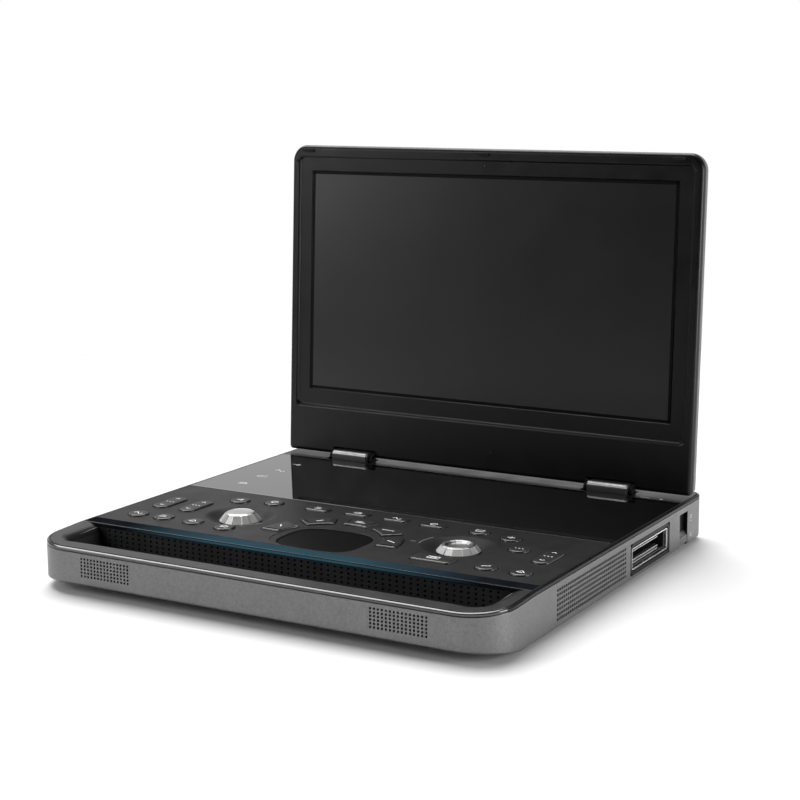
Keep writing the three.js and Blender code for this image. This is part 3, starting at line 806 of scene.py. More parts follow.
def make_deck_frame():
    levels = [(3.4, -7.2), (3.4, below_top(1.2)), (2.5, below_top(1.2)), (2.5, below_top(0.35)),
              (2.62, below_top(0.1)), (2.95, below_top(0))]
    skin = Skin()
    first, last = skin.sweep(rings_of(case_plan(SLOT_REAR), levels))
    skin.fill(first)
    split_fill(skin, last, SLOT_REAR)
    frame_top = mesh_object("deck_frame_top", skin)
    pockets = []
    for node in HINGE_BARRELS:
        x = middle(node).x
        low, high = deck_box(node)
        pockets.append(cutter(rounded(x - 22.8, low.y - 0.7, x + 22.8, high.y + 0.9, 1.2, 4), -12, 5))
    window = box_cutter(-WINDOW_HALF, WINDOW_HALF, SLOT_REAR, WINDOW_REAR, -12, 5)
    carve(frame_top, slot_plug(), window, *pockets, sharp=28)
    finish_piece(frame_top, "base", [PALM_PLASTIC], ["deck_frame"])


def make_edge_trim():
    """The glossy bead between the deck and the case walls, with a darker, matt copy of its material along the
    sides: painted shade.
    """
    section = [(2.05, 2.6), (2.05, 0.75), (1.9, 0.45), (1.6, 0.34), (1.2, 0.4), (0.35, 0.78), (0.1, 1.05),
               (0, 1.5), (0, 2.2), (0.1, 2.6), (0.4, 2.82), (0.9, 2.85), (1.7, 2.85)]
    skin = Skin()
    skin.hoop(case_plan(SLOT_REAR), [(d, below_top(drop)) for d, drop in section])
    # Faces behind this y take the darker copy: painted shade along the sides.
    painted_shade_from = CORNER_FRONT * 0.6
    skin.marks = [int(min(skin.points[i][1] for i in face) > painted_shade_from) for face in skin.faces]
    piece("deck_edge_trim", skin, "base", [TRIM_GLOSS, TRIM_SIDES_PAINTED_SHADE])


def make_slot_liner():
    """The sleeve and floor inside the handle slot, open to the grille at the rear."""
    path = slot_path()
    skin = Skin()
    sleeve = [(x + nx * 1.4, y + ny * 1.4) for (x, y), (nx, ny) in path] + [p for p, _ in reversed(path)]
    skin.solid(sleeve, [(0, SLOT_FLOOR), (0, -7.25)])
    floor = [(x + nx * 0.2, min(y + ny * 0.2, GRILLE_FRONT)) for (x, y), (nx, ny) in path if y < GRILLE_FRONT]
    floor = [(-SLOT_HALF - 0.2, GRILLE_FRONT)] + floor + [(SLOT_HALF + 0.2, GRILLE_FRONT)]
    skin.solid(floor, [(0, SLOT_FLOOR), (0, SLOT_FLOOR + 0.4)])
    piece("slot_liner", skin, "base", [LINER_PLASTIC])


def slider_space():
    """The space for the lock's tab, open at the case's lower edge."""
    back, outside = HALF_W - RECESS_DEPTH, HALF_W + 1
    section = [(outside, BOTTOM - 5), (back, BOTTOM - 5), (back, RECESS_TOP - 0.3), (HALF_W, RECESS_TOP),
               (outside, RECESS_TOP)]
    skin = Skin()
    skin.solid(section, [(0, -SLIDER_HIGH.y - 0.3), (0, -SLIDER_LOW.y + 0.3)])
    return mesh_object("cutter", skin, plane(DECK, (1, 0, 0), (0, 0, 1), (0, -1, 0)))


def paint_recess_shade(shell):
    """Gives the faces inside the lock's recess the second material, a gloss black: painted shade."""
    to_deck = DECK.inverted()
    for polygon in shell.data.polygons:
        at = to_deck @ polygon.center
        inside = HALF_W - RECESS_DEPTH - 0.1 < at.x < HALF_W - 0.05 and at.z < RECESS_TOP
        if inside and SLIDER_LOW.y - 0.5 < at.y < SLIDER_HIGH.y + 0.5:
            polygon.material_index = 1


def make_case():
    shell = case_outer()
    hollow = Skin()
    levels = [(WALL, above_bottom(WALL)), (WALL, 10)]
    first, last = hollow.sweep(rings_of(case_plan(TOE_LENGTH), levels))
    split_fill(hollow, first, TOE_LENGTH)
    hollow.fill(last)
    inside = mesh_object("cutter", hollow)
    slot_rear = GRILLE_HIGH.y + 0.3
    carve(inside, cutter(slot_outline(2.7, slot_rear + 2.6), BOTTOM - 5, 20),
          box_cutter(183, HALF_W + 5, SLIDER_LOW.y - 3, SLIDER_HIGH.y + 3, BOTTOM - 5, -6))
    gap = 0.3
    openings = [vent_opening(name) for name in VENTS] + [
        ((HALF_W - 13, SOCKET_LOW.y - gap, SOCKET_LOW.z - 1.9),
         (HALF_W + 5, SOCKET_HIGH.y + gap, SOCKET_HIGH.z + gap)),
        ((-HALF_W - 5, PORTS_LOW.y - gap, PORTS_LOW.z - gap),
         (-HALF_W + 5, PORTS_HIGH.y + gap, PORTS_HIGH.z + gap)),
        ((BATTERY_LOW.x - gap, BATTERY_LOW.y - gap, -40), (BATTERY_HIGH.x + gap, BATTERY_HIGH.y + gap, -31)),
    ]
    width, height = (pitch * count for pitch, count in zip(SPEAKER_PITCH, SPEAKER_COUNTS))
    for node in SPEAKERS:
        x = speaker_start(node)
        openings.append(((x, -5, SPEAKER_LOW), (x + width, 5, SPEAKER_LOW + height)))
    tools = [box_cutter(x0, x1, y0, y1, z0, z1) for (x0, y0, z0), (x1, y1, z1) in openings]
    slot = cutter(slot_outline(1.6, slot_rear), SLOT_FLOOR - 0.1, 20)
    grille = box_cutter(-165, 165, slot_rear - 1, slot_rear + 5, -27, -8)
    carve(shell, inside, slot, grille, slider_space(), *tools, sharp=30)
    paint_recess_shade(shell)
    # The second material, the surround's gloss black, is painted shade inside the lock's recess.
    finish_piece(shell, "base", [PAINT, SURROUND_GLOSS], ["bottom_case"])


def make_grilles():
    for name, (across, start, low, counts) in VENTS.items():
        end = start + VENT_PITCH[0] * counts[0]
        corner = {
            "vent_right": (HALF_W, start, low),
            "vent_left": (-HALF_W, end, low),
            "vent_rear": (end, DEPTH, low),
        }[name]
        perforated(name, corner, across, counts, VENT_PITCH, VENT_HOLE_R)
    for node in SPEAKERS:
        corner = (speaker_start(node), 0, SPEAKER_LOW)
        perforated(f"{node}_grille", corner, (1, 0, 0), SPEAKER_COUNTS, SPEAKER_PITCH, SPEAKER_HOLE_R)
    low = SLOT_FLOOR + 0.4
    high = low + HANDLE_COUNTS[1] * HANDLE_PITCH[1]
    half = HANDLE_COUNTS[0] * HANDLE_PITCH[0] / 2
    thick = 1.3
    perforated("handle_grille_plate", (-half, GRILLE_FRONT, low), (1, 0, 0), HANDLE_COUNTS, HANDLE_PITCH,
               HANDLE_HOLE_R, LINER_PLASTIC, thick, ["handle_grille"])
    # Black blocks at the grille's ends, where the slot's ends lie in shade: painted shade.
    ends = Skin()
    for x0, x1 in ((-181, -half), (half, 181)):
        ends.block((x0, GRILLE_FRONT, low), (x1, GRILLE_FRONT + thick, high), 0.1)
    piece("handle_grille_ends_painted_shade", ends, "base", [BLACK_PLASTIC])


# ---- Control deck ------------------------------------------------------------------------------
CAP_SIZE = {"rect": (20, 11, 2.5), "wide": (32, 15, 3), "rocker": (14, 34, 6.5)}
ROUND_R = 7.8
ROUND_KEYS = [f"key_round_{i}" for i in range(1, 12)]
RECT_KEYS = [f"key_rect_{i}" for i in range(1, 5)]
ROCKERS = [f"key_rocker_{i}" for i in range(1, 4)]
RING_KEYS = [f"key_ring_{i}" for i in range(1, 6)]
PLAIN_KEYS = ROUND_KEYS + RECT_KEYS + ["key_wide"] + ROCKERS


def key_outline(node, grow=0.0):
    if node in RING_KEYS:
        return sector(RING_ANGLES[RING_KEYS.index(node)], grow)
    at = middle(node)
    if node in ROUND_KEYS:
        return circle(at.x, at.y, ROUND_R + grow, 48)
    w, d, r = CAP_SIZE[node.split("_")[1]]
    half_w, half_d = w / 2 + grow, d / 2 + grow
    return rounded(at.x - half_w, at.y - half_d, at.x + half_w, at.y + half_d, r + grow)


def make_control_panel():
    low, high = deck_box("control_panel")
    bottom = -2.5
    skin = Skin()
    edge = rounded(low.x, low.y, high.x, high.y, 0.5, 3)
    rims = [skin.sweep(rings_of(edge, [(0.25, 0), (0.07, -0.07), (0, -0.25), (0, bottom)]))]
    key_well = [(-0.5, 0), (-0.2, -0.1), (-0.03, -0.32), (0, -0.7), (0, bottom)]
    for node in PLAIN_KEYS + RING_KEYS:
        rims.append(skin.sweep(rings_of(key_outline(node, KEY_GAP), key_well)))
    dish = [(29.2, 0), (28.2, -0.05), (27.2, -0.22), (26.0, -0.62), (24.2, -1.45), (22, -2.55), (20, -3.5),
            (18.6, -4.1), (17.6, -4.45), (16.9, -4.6), (5, -4.6), (4.2, -4.7), (4.2, -6.5), (16, -6.5),
            (29.5, bottom)]
    for node in ("knob_left", "knob_right"):
        at = middle(node)
        rims.append(skin.sweep([lifted(circle(at.x, at.y, r, 72), z) for r, z in dish]))
    shelf = [(81, 57.2, 0), (80.2, 56.7, -0.1), (79.6, 56.4, -0.35), (68.6, 56.0, -0.5), (67.6, 55.6, -0.6),
             (67, 55, -0.9), (66.8, 54.8, -1.6), (66.8, 54.8, bottom)]
    rims.append(skin.sweep([lifted(squircle(PAD.x, PAD.y, w, d), z) for w, d, z in shelf]))
    skin.fill(*[top for top, _ in rims])
    skin.fill(*[under for _, under in rims])
    piece("control_panel_plate", skin, "base", [DECK_PLASTIC], ["control_panel"])


def ribbon(skin, path, width, z):
    """A printed stroke: a thin raised band along the path."""
    left, right = [], []
    for i, p in enumerate(path):
        ahead = Vector(path[min(i + 1, len(path) - 1)])
        behind = Vector(path[max(i - 1, 0)])
        along = (ahead - behind).normalized()
        off = Vector((-along.y, along.x)) * width / 2
        left.append(Vector(p) + off)
        right.append(Vector(p) - off)
    outline = [(p.x, p.y) for p in right + left[::-1]]
    skin.solid(outline, [(0, z), (0, z + 0.05)])


# Legends in a unit square: lists of strokes. They are plain signs, with no lettering.
SIGNS = {
    "bars": [[(-0.5, -0.3), (0.5, -0.3)], [(-0.5, 0.3), (0.2, 0.3)]],
    "wave": [[(-0.6, -0.1), (-0.3, 0.35), (0, -0.1), (0.3, -0.45), (0.6, 0)]],
    "fan": [[(-0.5, -0.3), (0, 0.4), (0.5, -0.3)], [(-0.3, -0.4), (0.3, -0.4)]],
    "frame": [[(-0.5, -0.35), (0.5, -0.35), (0.5, 0.35), (-0.5, 0.35), (-0.5, -0.35)]],
    "arrow": [[(-0.5, 0), (0.5, 0)], [(0.1, 0.35), (0.5, 0), (0.1, -0.35)]],
    "cross": [[(-0.5, 0), (0.5, 0)], [(0, -0.4), (0, 0.4)]],
    "arch": [arc(0, -0.3, 0.55, 20, 160, 6), [(-0.5, -0.35), (0.5, -0.35)]],
    "dots": [[(-0.55, 0), (-0.35, 0)], [(-0.1, 0), (0.1, 0)], [(0.35, 0), (0.55, 0)]],
    "slash": [[(-0.5, -0.3), (0.5, 0.3)]],
    "chevron_up": [[(-0.4, -0.2), (0, 0.2), (0.4, -0.2)]],
    "chevron_down": [[(-0.4, 0.2), (0, -0.2), (0.4, 0.2)]],
    "ring": [arc(0, 0, 0.42, 0, 330, 12)],
}
SIGN_ORDER = ("wave", "bars", "fan", "arch", "arrow", "ring", "frame", "cross", "dots", "slash", "fan",
              "bars", "arch", "wave", "ring", "cross")


def sign(skin, name, x, y, w, d, z, width=1.0, turn=0.0):
    c, s = math.cos(turn), math.sin(turn)
    for stroke in SIGNS[name]:
        placed = [(x + (a * c - b * s) * w, y + (a * s + b * c) * d) for a, b in stroke]
        ribbon(skin, placed, width, z)


def key_legend(skin, node, x, y, z):
    if node in RING_KEYS:
        angle = RING_ANGLES[RING_KEYS.index(node)]
        name = "bars" if angle == 90 else "slash"
        sign(skin, name, x, y, 9, 4, z, turn=math.radians(angle) - math.pi / 2)
    elif node in ROCKERS:
        sign(skin, "chevron_up", x, y + 10.5, 4.5, 3.5, z)
        sign(skin, "dots", x, y, 6.5, 4, z, 1.1)
        sign(skin, "chevron_down", x, y - 10.5, 4.5, 3.5, z)
    elif node == "key_wide":
        sign(skin, "frame", x, y, 9, 6, z)
        sign(skin, "arch", x, y, 5, 4, z)
    else:
        name = SIGN_ORDER[PLAIN_KEYS.index(node) % len(SIGN_ORDER)]
        sign(skin, name, x, y, 6.2, 5.2, z)


def cap(skin, outline, top, edge):
    """A key cap: straight skirt, rounded satin shoulder, and a faintly crowned matt top in the third
    material."""
    profile = [(0, KEY_BOTTOM), (0, top - edge)]
    for step in range(1, 6):
        turn = math.radians(18 * step)
        profile.append((edge * (1 - math.cos(turn)), top - edge * (1 - math.sin(turn)) - 0.14))
    profile.append((edge + 1.6, top - 0.04))
    skin.solid(outline, profile)
    for number, face in enumerate(skin.faces):
        if min(skin.points[i][2] for i in face) > top - 0.35:
            skin.marks[number] = 2


def make_key(node):
    """A cap with its legend, and the stem that reaches the switch board."""
    at = middle(node)
    edge = 1.5
    if node in RING_KEYS:
        turn = math.radians(RING_ANGLES[RING_KEYS.index(node)])
        r = (RING_INNER + RING_OUTER) / 2
        at = Vector((PAD.x + r * math.cos(turn), PAD.y + r * math.sin(turn), 0))
        edge = 1.3
    top = deck_box(node)[1].z
    skin = Skin()
    cap(skin, key_outline(node), top, edge)
    skin.mat = 1
    key_legend(skin, node, at.x, at.y, top - 0.04)
    skin.mat = 0
    if node == "key_round_2":
        skin.tube([(x, y, top + 0.1) for x, y in arc(at.x, at.y, ROUND_R - 2.2, 200, 290, 10)], 0.5)
    foot = deck_box("key_wide")[0].z
    skin.block((at.x - 2.5, at.y - 2.5, foot), (at.x + 2.5, at.y + 2.5, foot + 3.4), 0.2)
    piece(node.replace("key", "cap"), skin, node, [KEY_PLASTIC, INK, KEY_TOP], [node])


def knob_ring(at, r, z, groove):
    """One level of the faceted skirt: flat facets with a narrow groove between neighbours."""
    facets = 14
    half = math.pi / facets
    points = []
    for i in range(facets):
        mid = 2 * math.pi * (i + 0.5) / facets
        for turn, radius in ((mid - half + 0.035, r), (mid + half - 0.035, r), (mid + half, r - groove)):
            points.append((at.x + radius * math.cos(turn), at.y + radius * math.sin(turn), z))
    return points


def make_knob(node, crown, tone):
    """crown lists the (radius, height above the shoulder) of the top, from the shoulder inwards; tone is
    the top's brightness."""
    at = middle(node)
    foot = -4.3
    shoulder = deck_box(node)[1].z - 0.7
    top_r = crown[0][0] + 0.7
    levels = [(3.4, -8.4, 0), (3.4, foot, 0), (15.6, foot, 0.1), (16.3, foot + 0.3, 0.35),
              (16.4, foot + 1.0, 0.4), (top_r + 0.25, shoulder - 0.35, 0.35), (top_r, shoulder, 0.1)]
    skin = Skin()
    first, last = skin.sweep([knob_ring(at, r, z, groove) for r, z, groove in levels])
    skin.fill(first)
    skin.mat = 1
    for r, height in crown:
        level = skin.ring(knob_ring(at, r, shoulder + height, 0))
        skin.bridge(last, level)
        last = level
    skin.fill(last)
    top = turned_metal(f"{node}_top", (tone, tone, tone), 0.34, DECK @ Vector((at.x, at.y, 0)))
    piece(f"{node}_cap", skin, node, [SATIN_METAL, top], [node], sharp=12)


def make_knobs():
    raised = [(11.0, 0.35), (10.6, 0.55), (10.1, 0.62), (9.8, 0.5), (9.5, 0.5), (9.1, 0.62), (4.5, 0.69)]
    dished = [(12.0, 0.3), (11.7, 0.55), (11.1, 0.7), (10.4, 0.68), (9.7, 0.4), (9.0, -0.1), (8.3, -0.65),
              (7.6, -0.92), (3, -1.0)]
    make_knob("knob_left", raised, 0.36)
    make_knob("knob_right", dished, 0.26)


def make_trackpad():
    low, high = deck_box("trackpad")
    levels = [(66, 54, low.z), (66, 54, high.z - 0.5), (65.7, 53.7, high.z - 0.15), (65.1, 53.1, high.z),
              (60, 48, high.z - 0.06), (30, 24, high.z - 0.12)]
    skin = Skin()
    skin.closed([lifted(squircle(PAD.x, PAD.y, w, d), z) for w, d, z in levels])
    piece("trackpad_face", skin, "base", [PAD_GLASS], ["trackpad"])


def make_printing():
    """Marks printed on the panel, the glass and the rear rail."""
    right, left = middle("knob_right"), middle("knob_left")
    panel, glass, rail = Skin(), Skin(), Skin()
    ribbon(panel, arc(right.x, right.y, 29.8, 156, 193, 16), 0.55, 0)
    sign(panel, "bars", right.x - 35, right.y - 4, 5.5, 3, 0, 0.5)
    ribbon(panel, arc(left.x, left.y, 30.2, 305, 338, 16), 0.55, 0)
    sign(panel, "dots", left.x + 20, left.y - 27, 5, 3, 0, 0.6)
    for name, x, y in (("arch", -155, 218), ("frame", -155, 246), ("wave", -154, 271), ("arrow", -154, 297)):
        sign(glass, name, x, y, 8, 6, 0, 0.9)
    ribbon(rail, [(153.8, 331.2), (162, 331.2)], 0.8, 0)
    rail.solid(circle(171.7, 331.6, 1.3, 20), [(0, 0), (0, 0.05)])
    piece("panel_printing", panel, "base", [DIM_INK])
    piece("glass_touch_icons", glass, "base", [INK])
    piece("rail_marks", rail, "base", [INK])


def make_inserts():
    """The light strip and the touch glass, with their softened edges."""
    inserts = (("light_strip", STRIP_LIGHT, "teal_light"), ("touch_glass", GLASS, "gloss_black"))
    for node, material, slot in inserts:
        low, high = deck_box(node)
        skin = Skin()
        skin.solid(rounded(low.x, low.y, high.x, high.y, 0.8, 4),
                   [(0, low.z), (0, -0.3), (0.08, -0.09), (0.3, 0)])
        piece(f"{node}_plate", skin, "base", [material], [node])
    edge = Skin()
    edge.block((-WINDOW_HALF, SLOT_REAR - 0.15, -0.75), (WINDOW_HALF, STRIP_LOW.y + 0.45, 0.06), 0.15)
    piece("strip_front_edge", edge, "base", [STRIP_EDGE_METAL])


# ---- Hinges ------------------------------------------------------------------------------------
def make_hinge_cover(node):
    """A cover over the barrel in lit and shaded copies of one metal: a bright satin edge along the front of
    the top, painted highlight, a darker brushed front with a parting line, painted shade, and a slimmer black
    knuckle at both ends."""
    low, high = deck_box(node)
    axis_y = middle(node).y
    r = (high.y - low.y) / 2
    axis_z = high.z - r
    top = high.z - 1.0
    round_r = 3.9
    line_z = axis_z - 0.1 * r

    def slice_at(x, shrink):
        """The cover's section at x, drawn in by shrink."""
        front, back = axis_y - r + 1.0 + shrink, axis_y + r - shrink
        q = round_r - shrink
        crown = arc(back - q, top - shrink - q, q, 0, 90, 8) + arc(front + q, top - shrink - q, q, 90, 180, 8)
        line = [(front, line_z + 0.3), (front + 0.3, line_z + 0.15), (front + 0.3, line_z - 0.15),
                (front, line_z - 0.3)]
        foot = [(front, axis_z - r * 0.75), (front + 0.8, axis_z - r), (axis_y - 5 + shrink, -14 + shrink),
                (axis_y + 5 - shrink, -14 + shrink), (back, axis_z - r)]
        return [(x, y, z) for y, z in crown + line + foot]

    def pin_hole(x):
        return [(x, y, z) for y, z in circle(axis_y, axis_z, 3.1, len(slice_at(x, 0)))]

    start, end = low.x + 0.8, high.x - 0.6
    stations = [(low.x, 3.4), (start - 0.05, 3.4), (start, 1.2), (start + 0.3, 0.5), (start + 1.0, 0),
                (end - 1.0, 0), (end - 0.3, 0.5), (end, 1.2), (end + 0.05, 3.4), (high.x, 3.4)]
    skin = Skin()
    first, last = skin.sweep([slice_at(x, shrink) for x, shrink in stations])
    left, right = skin.ring(pin_hole(low.x)), skin.ring(pin_hole(high.x))
    for a, b in ((first, left), (last, right), (left, right)):
        skin.bridge(a, b)
    for number, face in enumerate(skin.faces):
        xs, ys, zs = zip(*[skin.points[i] for i in face])
        if min(xs) < start - 0.01 or max(xs) > end + 0.01:
            continue
        # Faces on the top's front take the bright copy (painted highlight); the front faces below take the
        # dark copy (painted shade).
        if min(zs) > top - round_r * 0.75 and max(ys) < axis_y - r + 5.0:
            skin.marks[number] = 1
        elif max(ys) < axis_y - r + 2.0:
            skin.marks[number] = 2
    materials = [HINGE_PLASTIC, HINGE_TOP_PAINTED_LIGHT, HINGE_FRONT_PAINTED_SHADE]
    piece(node.replace("barrel", "cover"), skin, "base", materials, [node], sharp=30)


# ---- Lid ---------------------------------------------------------------------------------------
LID_BOTTOM = 1.2
LID_TOP = 274.35
LID_FRONT = -2.45
LID_SEAM = -7.5
LID_BACK = -14.45
RECESS_HALF = 184.0
RECESS_V = (44.0, 263.8)
RECESS_FLOOR = -4.45
SCREEN_HALF = 172.1
SCREEN_V = (58.5, 252.0)
NOTCH_HALF = 22.0
NOTCH_TOP = 8.2
EYE = (-1.2, 259.4)
LAMP = (12.7, 18.6)


def lid_outline():
    return rounded(-HALF_W, LID_BOTTOM, HALF_W, LID_TOP, (4, 4, 14, 14), 12)


def lid_hollow(low, high):
    """The space inside both halves of the lid."""
    outline = rounded(-HALF_W + 2.2, 11, HALF_W - 2.2, LID_TOP - 2.2, (1.8, 1.8, 11.8, 11.8), 8)
    return cutter(outline, low, high, LID_FACE)


def lid_cutters():
    """The hinge notches and the slope of the lid's underside."""
    tools = []
    for node in HINGE_BARRELS:
        x = middle(node).x
        outline = rounded(x - NOTCH_HALF, -12, x + NOTCH_HALF, NOTCH_TOP, (0.5, 0.5, 1.6, 1.6), 4)
        tools.append(cutter(outline, -20, 5, LID_FACE))
    slope = 0.53
    back = LID_BACK - 3
    section = [(LID_BOTTOM - 6, 4), (LID_BOTTOM - 6, back), (LID_BOTTOM + (LID_FRONT - back) * slope, back),
               (LID_BOTTOM, LID_FRONT), (LID_BOTTOM - 0.2, 4)]
    wedge = Skin()
    wedge.solid(section, [(0, -220), (0, 220)])
    tools.append(mesh_object("cutter", wedge, plane(LID_FACE, (0, 1, 0), (0, 0, 1), (1, 0, 0))))
    return tools


def make_hinge_brackets():
    """The lid's half of each hinge: a dark plate that closes the notch behind the cover."""
    half = NOTCH_HALF + 0.3
    skin = Skin()
    for node in HINGE_BARRELS:
        x = middle(node).x
        skin.block((x - half, 4.6, -8.9), (x + half, NOTCH_TOP + 0.8, -8.0), 0.2)
    piece("lid_hinge_brackets", skin, "lid", [LEAF_METAL], place=LID_FACE)


def make_bezel():
    skin = Skin()
    skin.solid(lid_outline(), [(0, LID_SEAM), (0, -6.0), (0.3, -4.9), (0.9, -3.9), (1.7, -3.1), (2.7, -2.6),
                               (3.6, LID_FRONT)])
    bezel = mesh_object("lid_bezel_frame", skin, LID_FACE)
    # (inset at the sides, inset at the lower ledge, height)
    walls = [(0.35, 0.8, RECESS_FLOOR), (0.1, 0.3, RECESS_FLOOR + 0.1), (0, 0, RECESS_FLOOR + 0.4),
             (-0.5, -0.6, -3.4), (-0.9, -1.4, -2.85), (-1.25, -2.3, -2.55), (-1.9, -3.3, -2.38),
             (-2.5, -4.0, 1)]
    low, high = RECESS_V
    recess, window = Skin(), Skin()
    recess.closed([lifted(rounded(-RECESS_HALF + side, low + ledge, RECESS_HALF - side, high - side, 4, 6), z)
                   for side, ledge, z in walls])
    opening = rounded(-SCREEN_HALF, SCREEN_V[0], SCREEN_HALF, SCREEN_V[1], 0.8, 4)
    window.solid(opening, [(0, -20), (0, RECESS_FLOOR - 0.6), (-0.7, RECESS_FLOOR + 0.1), (-0.7, 0)])
    tools = [mesh_object("cutter", tool, LID_FACE) for tool in (recess, window)]
    tools += [lid_hollow(-20, -6.05), cutter(circle(*EYE, 1.15, 24), -8, 5, LID_FACE)]
    carve(bezel, *tools, *lid_cutters(), sharp=28)
    finish_piece(bezel, "lid", [BEZEL_PLASTIC], ["lid_bezel"])


def make_camera_eye():
    eye, lamp = Skin(), Skin()
    eye.solid(circle(*EYE, 1.1, 24), [(0, -6), (0, -4.9), (0.3, -4.8)])
    lamp.solid(circle(*LAMP, 0.7, 20), [(0, -2.6), (0, -2.4), (0.2, -2.35)])
    piece("camera_eye", eye, "lid", [GLASS], place=LID_FACE)
    piece("status_lamp", lamp, "lid", [GLASS], place=LID_FACE)


def make_display():
    """The screen, with a black border around its bright area."""
    outline = rounded(-SCREEN_HALF - 4, SCREEN_V[0] - 4, SCREEN_HALF + 4, SCREEN_V[1] + 4, 0.8, 4)
    levels = [(0, -10.4), (0, -6.4), (4.3, -6.4), (4.3, -4.9), (4.4, -4.85), (6.6, -4.85), (6.7, -4.95)]
    skin = Skin()
    skin.mat = 1
    first, inner = skin.sweep(rings_of(outline, levels))
    skin.fill(first)
    skin.mat = 0
    skin.fill(inner)
    piece("display_face", skin, "lid", [SCREEN, SCREEN_BORDER], ["lcd_panel"], LID_FACE)


def make_rear_cover():
    """The painted back of the lid, with a shallow field, and a plate over each hinge leaf."""
    skin, field, plates, screws = Skin(), Skin(), Skin(), Skin()
    skin.solid(lid_outline(), [(0, LID_SEAM - 0.3), (0, -11.8), (0.2, -12.9), (0.8, -13.8), (1.7, -14.3),
                               (3, LID_BACK)])
    cover = mesh_object("lid_rear_shell", skin, LID_FACE)
    field.hoop(rounded(-HALF_W + 26, 34, HALF_W - 26, LID_TOP - 20, 10, 10),
               [(-0.3, -16), (-0.3, -14.5), (0.1, -14.05), (0.7, -14.05), (1.1, -14.5), (1.1, -16)])
    groove = mesh_object("cutter", field, LID_FACE)
    carve(cover, lid_hollow(LID_BACK + 2.15, 0), groove, *lid_cutters(), sharp=28)
    finish_piece(cover, "lid", [PAINT], ["lid_rear_cover"])
    edge = [(0.4, LID_BACK + 0.2), (0.4, LID_BACK - 0.05), (0.8, LID_BACK - 0.28), (1.3, LID_BACK - 0.35)]
    for node in HINGE_BARRELS:
        x = middle(node).x
        plates.solid(rounded(x - 26, 14, x + 26, 30, 3, 5), edge)
        for off in (-18, 18):
            screw(screws, x + off, 22, LID_BACK - 0.35, 2.3)
    piece("lid_hinge_plates", plates, "lid", [DECK_PLASTIC], place=LID_FACE)
    piece("lid_hinge_screws", screws, "lid", [STEEL], place=LID_FACE)


def screw(skin, x, y, z, r):
    """A pan-head screw with a hexagonal socket, its head facing down from z."""
    turns = [2 * math.pi * k / 24 for k in range(24)]

    def level(radius, height, hexed=False):
        ring = []
        for turn in turns:
            reach = radius / math.cos(turn % (math.pi / 3) - math.pi / 6) if hexed else radius
            ring.append((x + math.cos(turn) * reach, y + math.sin(turn) * reach, z - height))
        return ring

    skin.closed([level(r, -0.5), level(r, 0.25), level(r - 0.25, 0.5), level(1.25, 0.55),
                 level(1.05, 0.5, True), level(1.05, -0.3, True)])


def make_bumpers():
    v = LID_TOP - 4.55
    for node in ("bumper_left", "bumper_middle", "bumper_right"):
        x0, x1 = sorted((LID_FACE.inverted() @ corner).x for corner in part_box(node))
        skin = Skin()
        skin.solid(rounded(x0, v - 1.4, x1, v + 1.4, 1.35, 6),
                   [(0, LID_FRONT - 0.6), (0, -0.75), (0.2, -0.4), (0.6, -0.2)])
        piece(f"{node}_pad", skin, "lid", [RUBBER], [node], LID_FACE)


# ---- Right side: probe socket and its lock -----------------------------------------------------
CONTACT_ROWS = (-13.6, -22.6)
CONTACTS = 22
FACE = HALF_W                # height of the side walls on RIGHT and LEFT


def into_wall(profile):
    """The (inset, depth) points of a profile as (inset, height) on a side wall."""
    return [(d, FACE - depth) for d, depth in profile]


def make_socket():
    """A black surround, a plated frame inside it, and a deep well for the plug."""
    low, high = SOCKET_LOW, SOCKET_HIGH
    outline = rounded(low.y, low.z - 1.6, high.y, high.z, 5.5, 8)
    surround, metal, well = Skin(), Skin(), Skin()
    surround.hoop(outline, into_wall([(0, 12), (0, 0.25), (0.25, 0.02), (2.3, 0.02), (2.8, 0.6), (3.1, 2.2),
                                      (3.1, 12)]))
    metal.hoop(inset(outline, 3.3), into_wall([(0, 14), (0, 1.0), (0.25, 0.5), (1.1, 0.5), (1.4, 1.1),
                                               (1.5, 4), (1.5, 14)]))
    well.solid(inset(outline, 4.9), into_wall([(0, 22), (0, 2.5), (0.9, 3.0), (1.0, 21)]))
    piece("socket_surround", surround, "base", [SURROUND_GLOSS], place=RIGHT)
    piece("socket_frame", metal, "base", [SOCKET_METAL], place=RIGHT)
    piece("socket_well", well, "base", [BLACK_PLASTIC], ["probe_socket"], RIGHT)


def make_contacts():
    """Two tongues in the well; each carries rows of plated contacts and shows two bright bars."""
    low, high = deck_box("socket_contacts")
    tongues, plates, bars = Skin(), Skin(), Skin()
    for z in CONTACT_ROWS:
        tongues.solid(rounded(low.y + 1, z - 1.6, high.y - 2, z + 1.6, 0.7, 4),
                      into_wall([(0, 20), (0, 2.6), (0.3, 2.2), (0.8, 2.0)]))
        for side in (-1, 1):
            v = z + side * 1.15
            bars.solid(rounded(low.y + 1.6, v - 0.36, high.y - 2.6, v + 0.36, 0.25, 3),
                       into_wall([(0, 3), (0, 1.85), (0.15, 1.7)]))
            v = z + side * 1.62
            for k in range(CONTACTS):
                y = low.y + 3 + (high.y - low.y - 7) * k / (CONTACTS - 1)
                plates.block((y - 0.6, v - 0.14, FACE - 18), (y + 0.6, v + 0.14, FACE - 3.6), 0.05)
    piece("socket_tongues", tongues, "base", [BLACK_PLASTIC], ["socket_contacts"], RIGHT)
    piece("socket_contact_rows", plates, "base", [GOLD], place=RIGHT)
    piece("socket_contact_rims", bars, "base", [SOCKET_METAL], place=RIGHT)


